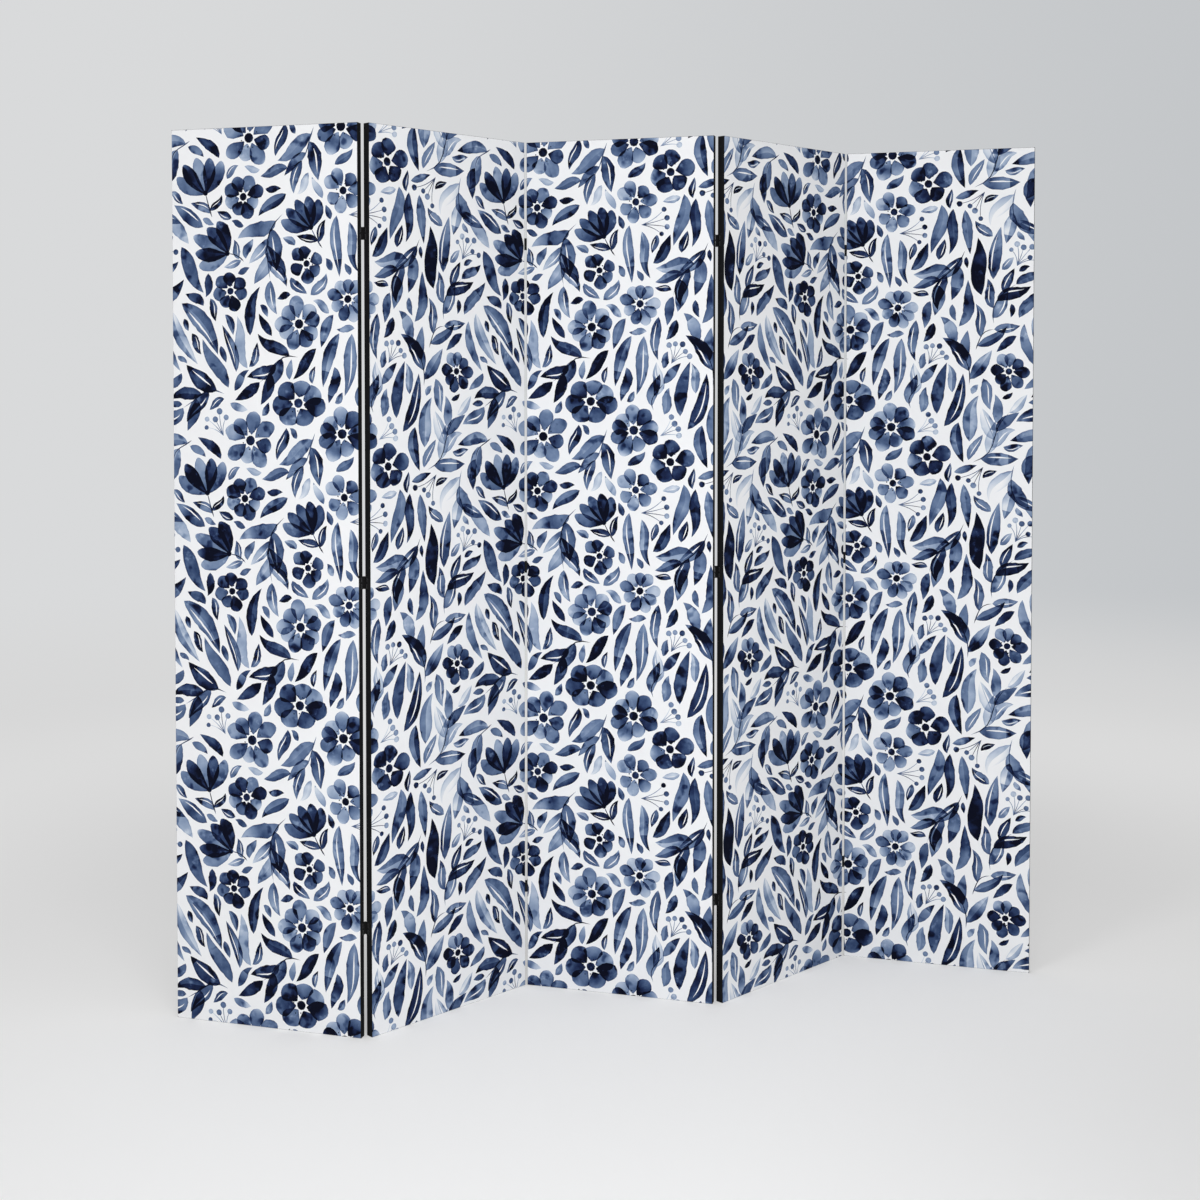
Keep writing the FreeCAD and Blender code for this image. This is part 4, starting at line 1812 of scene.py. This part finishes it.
    def build(self, finish: bpy.types.Material) -> bpy.types.Object:
        """Cuts, prints, folds and lines the canvas.

        Args:
            finish: The printed canvas's material.

        Returns:
            The canvas.
        """
        s = self.sizes
        middle = np.array([(self.panel - s.middle) * s.width, s.height / 2])
        reach = np.array([s.width / 2 + self.edge_radius, s.height / 2 + self.edge_radius])
        near = self.print_repeat.over(middle - reach, middle + reach)
        laid = [(mark, shift - middle) for mark, shift in near]
        shapes, parts = self.polygons(laid)
        corners, triangles, around = self.divide(shapes)
        ink = self.ink(corners, triangles, around, laid, parts)
        placed = self.wrap.place(corners)
        mesh = bpy.data.meshes.new(f"panel_{self.panel}_canvas")
        mesh.from_pydata(placed.tolist(), [], triangles.tolist())
        flat = corners[triangles.ravel()] + middle
        mesh.uv_layers.new(name="cloth").data.foreach_set("uv", flat.ravel())
        layer = mesh.color_attributes.new("print_ink", "FLOAT_COLOR", "CORNER")
        layer.data.foreach_set("color", ink.ravel())
        shell = bmesh.new()
        shell.from_mesh(mesh)
        bmesh.ops.remove_doubles(shell, verts=shell.verts, dist=self.weld)
        loose = [v for v in shell.verts if not v.link_faces]
        bmesh.ops.delete(shell, geom=loose, context="VERTS")
        self.line(shell)
        bmesh.ops.triangulate(shell, faces=[f for f in shell.faces if len(f.verts) > 4])
        front = Matrix.Translation((0, -s.thickness / 2, s.height / 2))
        shell.transform(s.placement(self.panel) @ front)
        open_edges = sum(1 for edge in shell.edges if not edge.is_manifold)
        shell.to_mesh(mesh)
        shell.free()
        LOG.info("%s: %d marks, %d open edges", mesh.name, len(laid), open_edges)
        cloth = put_in_scene(mesh.name, mesh)
        mesh.materials.append(finish)
        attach(cloth, f"panel_{self.panel}")
        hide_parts(f"panel_{self.panel}_print_canvas")
        past = self.wrap.stations()[-1]
        width, height = (2 * (half + past) for half in (self.wrap.flat_across, self.wrap.flat_up))
        corner = (past - s.canvas) ** 2
        width * height - 4 * corner
        return cloth


@dataclass
class BackCloth:
    """The plain cloth over one panel's back, stapled all round and a little puckered."""

    sizes: ScreenSizes
    panel: int
    inset: float = 4 * MM
    staple_inset: float = 12 * MM
    staple_end: float = 40 * MM
    staple_corner: float = 80 * MM
    side_staples: int = 16
    end_staples: int = 4
    columns: int = 44
    rows: int = 178
    pucker: float = 0.55 * MM
    pucker_reach: float = 16 * MM
    staple_reach: float = 13 * MM
    slack: float = 0.7 * MM
    slack_start: float = 30 * MM
    slack_rise: float = 60 * MM
    waves: Point = (31, 17, 23)
    wave_shift: float = 2.1

    def staples(self) -> np.ndarray:
        """Places of the staples, across and up, centred on the panel.

        Returns:
            One staple to a row.
        """
        s = self.sizes
        x = s.width / 2 - self.staple_inset
        z = s.height / 2 - self.staple_inset
        up = np.linspace(-1, 1, self.side_staples) * (s.height / 2 - self.staple_end)
        along = np.linspace(-1, 1, self.end_staples) * (s.width / 2 - self.staple_corner)
        sides = [(side * x, place) for side in (-1, 1) for place in up]
        ends = [(place, end * z) for end in (-1, 1) for place in along]
        return np.array(sides + ends)

    def lift(self, across: np.ndarray, up: np.ndarray) -> np.ndarray:
        """How far the cloth stands off its lowest, from staple to staple.

        Args:
            across: Places across the panel.
            up: Places up the panel.

        Returns:
            Heights over the canvas's return.
        """
        points = np.stack([across, up], axis=1)
        gaps = np.linalg.norm(points[:, None] - self.staples()[None], axis=2)
        near = gaps.min(axis=1)
        s = self.sizes
        edge = np.minimum(s.width / 2 - np.abs(across), s.height / 2 - np.abs(up))
        rim = np.exp(-(((edge - self.inset) / self.pucker_reach) ** 2))
        held = 1 - np.exp(-((near / self.staple_reach) ** 2))
        rows, bends, columns = self.waves
        waves = np.sin(up * rows + np.sin(across * bends + self.panel))
        waves = waves * np.sin(across * columns + self.panel * self.wave_shift)
        loose = np.clip((edge - self.slack_start) / self.slack_rise, 0, 1)
        return self.pucker * held * rim + self.slack * loose * (0.5 + 0.5 * waves)

    def build(self, finish: bpy.types.Material) -> bpy.types.Object:
        """Lays the cloth, puckers it and gives it its thickness.

        Args:
            finish: The cloth's material.

        Returns:
            The cloth.
        """
        s = self.sizes
        name = f"panel_{self.panel}_backing"
        sheet = bmesh.new()
        grid = {"x_segments": self.columns, "y_segments": self.rows}
        bmesh.ops.create_grid(sheet, **grid, size=1.0, calc_uvs=True)
        half = np.array([s.width / 2 - self.inset, s.height / 2 - self.inset])
        spots = np.array([vertex.co.xy for vertex in sheet.verts]) * half
        lift = self.lift(spots[:, 0], spots[:, 1])
        back = s.thickness / 2
        layer = sheet.loops.layers.uv.active or sheet.loops.layers.uv.new("cloth")
        for vertex, spot, rise in zip(sheet.verts, spots, lift):
            # turned so that the sheet's face looks backwards
            vertex.co = Vector((-spot[0], back + rise, spot[1] + s.height / 2))
        for face in sheet.faces:
            for loop in face.loops:
                loop[layer].uv = (loop.vert.co.x, loop.vert.co.z)
        sheet.normal_update()
        bmesh.ops.solidify(sheet, geom=sheet.faces[:], thickness=s.cloth)
        bmesh.ops.recalc_face_normals(sheet, faces=sheet.faces)
        low = min(vertex.co.y for vertex in sheet.verts)
        rise = (0, max(back - s.cloth - low, 0), 0)
        bmesh.ops.translate(sheet, verts=sheet.verts, vec=rise)
        sheet.transform(s.placement(self.panel))
        mesh = bpy.data.meshes.new(name)
        sheet.to_mesh(mesh)
        sheet.free()
        mesh.uv_layers[0].name = "cloth"
        mesh.materials.append(finish)
        mesh.shade_smooth()
        cloth = put_in_scene(name, mesh)
        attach(cloth, f"panel_{self.panel}")
        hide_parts(f"panel_{self.panel}_back_cloth")
        return cloth


@dataclass
class FoldStraps:
    """The three webbing straps of one fold, from one panel's side to the next's."""

    sizes: ScreenSizes
    left: int
    count: int = 3
    height: float = 25 * MM
    end_distance: float = 212 * MM
    leaf: float = 14 * MM
    edge_round: float = 0.3 * MM
    leaf_steps: int = 4
    bend_steps: int = 14

    @property
    def side(self) -> int:
        """1 where the straps are behind the panels, at a ridge, and -1 where they are before."""
        return 1 if self.left % 2 == 1 else -1

    @property
    def bend_radius(self) -> float:
        """The fold's axis to the middle of the strap's thickness."""
        return self.sizes.bend_inner_radius + self.sizes.strap_thickness / 2

    @property
    def arc(self) -> float:
        """Length of the bend."""
        return self.bend_radius * (math.pi - 2 * self.sizes.half_angle)

    @property
    def length(self) -> float:
        """Length of a whole strap, both leaves and the bend."""
        return 2 * self.leaf + self.arc

    def leaves(self, panel: int, side: int) -> tuple[Vector, Vector, Vector]:
        """Where the straps leave one panel.

        Args:
            panel: The panel's number.
            side: 1 for its right side, -1 for its left.

        Returns:
            The end of the flat leaf, its direction towards the bend, and the way off the panel.
        """
        s = self.sizes
        place = s.placement(panel)
        off = s.width / 2 + s.strap_thickness / 2
        end = place @ Vector((side * off, self.side * s.axis_y, 0))
        along = place.to_3x3() @ Vector((0, self.side, 0))
        outward = place.to_3x3() @ Vector((side, 0, 0))
        return end, along, outward

    def path(self, along: float) -> tuple[Vector, Vector]:
        """A place on the middle of the strap, and the way across its thickness.

        Args:
            along: Distance from the strap's left end.

        Returns:
            The place, at floor height, and the direction towards the axis.
        """
        s = self.sizes
        end, forward, off = self.leaves(self.left, 1)
        if along <= self.leaf:
            return end - forward * (self.leaf - along), off
        if along >= self.leaf + self.arc:
            start, backward, off = self.leaves(self.left + 1, -1)
            return start - backward * (along - self.leaf - self.arc), off
        angle = (along - self.leaf) / self.bend_radius
        hub = s.placement(self.left) @ Vector((s.axis_x, self.side * s.axis_y, 0))
        spin = Matrix.Rotation(-self.side * angle, 3, "Z")
        return hub + spin @ (end - hub), spin @ off

    def cut(self) -> bmesh.types.BMesh:
        """Cuts one strap flat along X, with its edges rounded and creases where it bends.

        Returns:
            The strap, with its cloth coordinates.
        """
        s, length, leaf = self.sizes, self.length, self.leaf
        strip = bmesh.new()
        bmesh.ops.create_cube(strip, size=1.0)
        bmesh.ops.scale(strip, vec=(length, s.strap_thickness, self.height), verts=strip.verts)
        bmesh.ops.translate(strip, vec=(length / 2, 0, 0), verts=strip.verts)
        spans = [(e, abs(e.verts[0].co.x - e.verts[1].co.x)) for e in strip.edges]
        bmesh.ops.bevel(
            strip,
            geom=[edge for edge, span in spans if span > length / 2],
            offset=self.edge_round,
            segments=2,
            profile=0.5,
            affect="EDGES",
            material=-1,
        )
        cuts = [leaf * k / self.leaf_steps for k in range(1, self.leaf_steps)]
        cuts += [leaf + self.arc * k / self.bend_steps for k in range(self.bend_steps + 1)]
        cuts += [length - leaf * k / self.leaf_steps for k in range(self.leaf_steps - 1, 0, -1)]
        for cut in cuts:
            geometry = strip.verts[:] + strip.edges[:] + strip.faces[:]
            plane = {"plane_co": (cut, 0, 0), "plane_no": (1, 0, 0)}
            bmesh.ops.bisect_plane(strip, geom=geometry, **plane)
        layer = strip.loops.layers.uv.new("cloth")
        for face in strip.faces:
            for loop in face.loops:
                spot = loop.vert.co
                loop[layer].uv = (spot.x + spot.y, spot.z + self.height)
        return strip

    def build(self, finish: bpy.types.Material) -> bpy.types.Object:
        """Bends the straps round the fold and sets them one above the other.

        Args:
            finish: The webbing's material.

        Returns:
            The straps.
        """
        fold = f"fold_{self.left}_{self.left + 1}"
        mesh = bpy.data.meshes.new(f"{fold}_webbing")
        strip, whole = self.cut(), bmesh.new()
        for vertex in strip.verts:
            spot, across = self.path(vertex.co.x)
            rise = Vector((0, 0, vertex.co.z + self.end_distance))
            vertex.co = spot + across * vertex.co.y + rise
        strip.to_mesh(mesh)
        span = self.sizes.height - 2 * self.end_distance
        for k in range(self.count):
            first = len(whole.verts)
            whole.from_mesh(mesh)
            whole.verts.ensure_lookup_table()
            rise = (0, 0, span * k / (self.count - 1))
            bmesh.ops.translate(whole, vec=rise, verts=whole.verts[first:])
        bmesh.ops.recalc_face_normals(whole, faces=whole.faces)
        whole.to_mesh(mesh)
        strip.free()
        whole.free()
        mesh.materials.append(finish)
        straps = put_in_scene(mesh.name, mesh)
        start, _, _ = self.leaves(self.left, 1)
        end, _, _ = self.leaves(self.left + 1, -1)
        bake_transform(straps)
        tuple(start)
        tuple(end)
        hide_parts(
            f"{fold}_straps_on_panel_{self.left}",
            f"{fold}_straps_on_panel_{self.left + 1}",
            f"{fold}_strap_bends",
        )
        return straps


@dataclass(frozen=True)
class SoftBox:
    """One soft light: where it hangs, what it faces, its size and its power."""

    name: str
    place: Point
    target: Point
    width: float
    height: float
    power: float

    def hang(self) -> None:
        """Hangs the box, unseen by the camera."""
        lamp = bpy.data.lights.new(self.name, "AREA")
        lamp.shape = "RECTANGLE"
        lamp.size, lamp.size_y = self.width, self.height
        lamp.energy = self.power
        box = put_in_scene(self.name, lamp)
        box.location = self.place
        facing = Vector(self.target) - Vector(self.place)
        box.rotation_euler = facing.to_track_quat("-Z", "Y").to_euler()
        box.visible_camera = False


@dataclass(frozen=True)
class Backdrop:
    """The haze behind the screen, paler to the left, as the world and the floor's rim show it."""

    left: tuple = from_screen(217, 218, 219)
    right: tuple = from_screen(191, 194, 197)
    spread: Range = (-0.1, 0.8)

    def haze(self, board: Board, across: Signal) -> Any:
        """The haze's colour.

        Args:
            board: The board to lay it on.
            across: How far to the right one looks, -1 to 1.

        Returns:
            The colour's socket.
        """
        return board.blend(across.step(*self.spread), self.left, self.right)

    def seen(self, board: Board) -> Signal:
        """1 for what the camera sees, straight on or by a mirror, and 0 for what only lights.

        Args:
            board: The board to lay it on.

        Returns:
            The 1 or 0.
        """
        path = board.add("ShaderNodeLightPath").outputs
        kinds = ("Camera", "Glossy", "Transmission")
        camera, glossy, through = (Signal(board, path[f"Is {kind} Ray"]) for kind in kinds)
        return board.maths("MAXIMUM", board.maths("MAXIMUM", camera, glossy), through)


@dataclass(frozen=True)
class StudioFloor(Finish):
    """Pale floor that fades into the backdrop, with a painted pool of light before the screen and
    painted shade to its front right.
    """

    backdrop: Backdrop = Backdrop()
    paint: tuple = from_screen(244, 244, 244)
    # painted light: the floor glows brightest in a pool before the screen, fading to dim away from
    # it
    painted_glow: tuple = from_screen(254, 254, 254)
    dim: tuple = from_screen(231, 231, 231)
    # painted shade: a darker patch of the floor to the screen's front right
    painted_shade: tuple = from_screen(214, 214, 214)
    low_haze: tuple = from_screen(215, 215, 215)
    # where the painted pool of light lies, and how far out it fades
    painted_glow_place: Point = (-0.15, -0.6, 0.0)
    painted_glow_reach: Range = (0.5, 1.9)
    # where the painted shade lies, and how far out it fades
    painted_shade_place: Point = (1.25, -1.35, 0.0)
    painted_shade_reach: Range = (0.4, 1.5)
    # a fixed point of the room: the spot on the floor right under the camera
    haze_hub: Point = (-0.8828, -3.3191, 0.0)
    haze_reach: Range = (1.4, 3.8)
    rim_reach: Range = (2.7, 7.5)
    # how much of the floor the camera sees as emitted painted light, and how brightly it glows
    painted_glow_share: float = 0.26
    painted_glow_strength: float = 1.13

    def lay(self, board: Board) -> None:
        """Lays the floor's tones, with a painted pool of light before the screen and painted shade
        to its front right, and the haze that fans out from its hub to the rim.

        Args:
            board: The board to lay it on.
        """
        place = board.in_place()
        away = board.distance(place, (0.0, 0.0, 0.0))
        across = board.axis("X", place) - self.haze_hub[0]
        sides = self.backdrop.haze(board, across / board.distance(place, self.haze_hub))
        haze = board.blend(away.step(*self.rim_reach), self.low_haze, sides)
        far = away.step(*self.haze_reach)
        # painted pool of light before the screen, fading to dim
        painted_glow_falloff = board.distance(place, self.painted_glow_place).step(*self.painted_glow_reach)
        near = board.blend(painted_glow_falloff, self.painted_glow, self.dim)
        # painted shade to the front right, laid over the painted pool of light
        painted_shade_falloff = board.distance(place, self.painted_shade_place).step(*self.painted_shade_reach)
        near = board.blend(painted_shade_falloff, self.painted_shade, near)
        strength = self.painted_glow_strength * (1 - far) + far
        inputs = {"Color": board.blend(far, near, haze), "Strength": strength}
        # the floor glows to the camera with its painted light and shade, mixed over the lit paint
        paint = board.add("ShaderNodeBsdfDiffuse", None, {"Color": self.paint})
        painted_glow = board.add("ShaderNodeEmission", None, inputs)
        share = self.backdrop.seen(board) * (self.painted_glow_share + far * (1 - self.painted_glow_share))
        board.output("Material", paint, painted_glow, share=share)


@dataclass(frozen=True)
class Studio:
    """Floor, soft light and the camera."""

    floor_radius: float = 16.0
    floor_corners: int = 96
    backdrop: Backdrop = Backdrop()
    world_light: float = 0.585
    boxes: tuple[SoftBox, ...] = (
        SoftBox("front_box", (-0.42, -2.45, 1.08), (-0.42, 0.0, 1.08), 1.2, 2.0, 23.6),
        SoftBox("side_box", (-3.3, -2.4, 4.9), (0.0, 0.0, 0.9), 1.2, 1.2, 38.0),
    )
    camera_place: Point = (-0.8828, -3.3191, 1.2954)
    camera_yaw: float = math.radians(14.213)
    camera_tilt: float = math.radians(1.581)
    sensor: float = 36.0
    lens: float = 49.664
    lift: float = -0.15

    def build_world(self) -> None:
        """Lights the room evenly, and shows the backdrop to the camera."""
        world = bpy.data.worlds.new("studio")
        bpy.context.scene.world = world
        world.use_nodes = True
        board = Board(world.node_tree)
        place = board.add("ShaderNodeTexCoord").outputs["Generated"]
        haze = self.backdrop.haze(board, board.axis("X", place))
        even = {"Color": (1, 1, 1, 1), "Strength": self.world_light}
        light = board.add("ShaderNodeBackground", None, even)
        shown = board.add("ShaderNodeBackground", None, {"Color": haze, "Strength": 1.0})
        board.output("World", light, shown, share=self.backdrop.seen(board))

    def build_floor(self) -> None:
        """Lays a wide round floor."""
        disc, corners = bmesh.new(), self.floor_corners
        bmesh.ops.create_circle(disc, cap_ends=True, segments=corners, radius=self.floor_radius)
        mesh = bpy.data.meshes.new("studio_floor")
        disc.to_mesh(mesh)
        disc.free()
        mesh.materials.append(StudioFloor("studio_floor", self.backdrop).material())
        floor = put_in_scene("studio_floor", mesh)
        floor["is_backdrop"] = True

    def build_camera(self) -> None:
        """Stands the camera where the photograph was taken from."""
        lens = bpy.data.cameras.new("camera")
        lens.sensor_width = self.sensor
        lens.sensor_fit = "HORIZONTAL"
        lens.lens = self.lens
        lens.shift_y = self.lift
        camera = put_in_scene("camera", lens)
        camera.location = self.camera_place
        camera.rotation_euler = (QUARTER - self.camera_tilt, 0, -self.camera_yaw)
        bpy.context.scene.camera = camera

    def build(self) -> None:
        """Makes the floor, the light and the camera."""
        self.build_world()
        self.build_floor()
        for box in self.boxes:
            box.hang()
        self.build_camera()
        bpy.context.scene.view_settings.view_transform = "Standard"


@dataclass
class Dresser:
    """Gives the frame's bars and the staples their finishes."""

    sizes: ScreenSizes
    nodes: dict[str, bpy.types.Object]

    def paint(self, panel: int, pieces: Sequence[str], finish: bpy.types.Material) -> None:
        """Puts a finish on pieces of one panel.

        Args:
            panel: The panel's number.
            pieces: Names of the pieces, less the panel's.
            finish: The finish.
        """
        for piece in pieces:
            for slot in self.nodes[f"panel_{panel}_{piece}"].material_slots:
                slot.link = "OBJECT"
                slot.material = finish

    def dress(self) -> None:
        """Dresses each panel's bars and staples."""
        wire = StapleWire("staple_wire").material()
        upright = Pine("pine_upright").material()
        turn = self.sizes.half_angle
        odd = Pine("pine_flat_odd", turn, False).material()
        even = Pine("pine_flat_even", -turn, False).material()
        for panel in self.sizes.panels:
            flat = odd if panel % 2 else even
            self.paint(panel, ("left_stile", "right_stile"), upright)
            self.paint(panel, ("top_rail", "bottom_rail", "cross_rails"), flat)
            self.paint(panel, ("cloth_staples", "strap_staples"), wire)
            LOG.info("panel %d: bars and staples dressed", panel)


def report(piece: bpy.types.Object) -> None:
    """Logs a piece's name and how many faces it has."""
    LOG.info("%s: %d faces", piece.name, len(piece.data.polygons))


def main() -> None:
    """Builds the screen's pieces in order."""
    logging.basicConfig(level=logging.INFO, format="%(name)s: %(message)s")
    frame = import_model()
    cad_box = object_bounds()
    sizes = ScreenSizes()
    Dresser(sizes, frame["nodes"]).dress()
    repeat = Repeat().paint()
    canvas = PrintedCanvas("printed_canvas").material()
    backing = BlackCloth("black_cloth").material()
    for panel in sizes.panels:
        report(PrintedPanelCloth(sizes, panel, repeat).build(canvas))
        report(BackCloth(sizes, panel).build(backing))
    webbing = Webbing("webbing").material()
    for left in list(sizes.panels)[:-1]:
        report(FoldStraps(sizes, left).build(webbing))
    Studio().build()
    boxes = {"cad": cad_box, "visual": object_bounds()}
    {name: [list(corner) for corner in box] for name, box in boxes.items()}


if __name__ == "__main__":
    main()
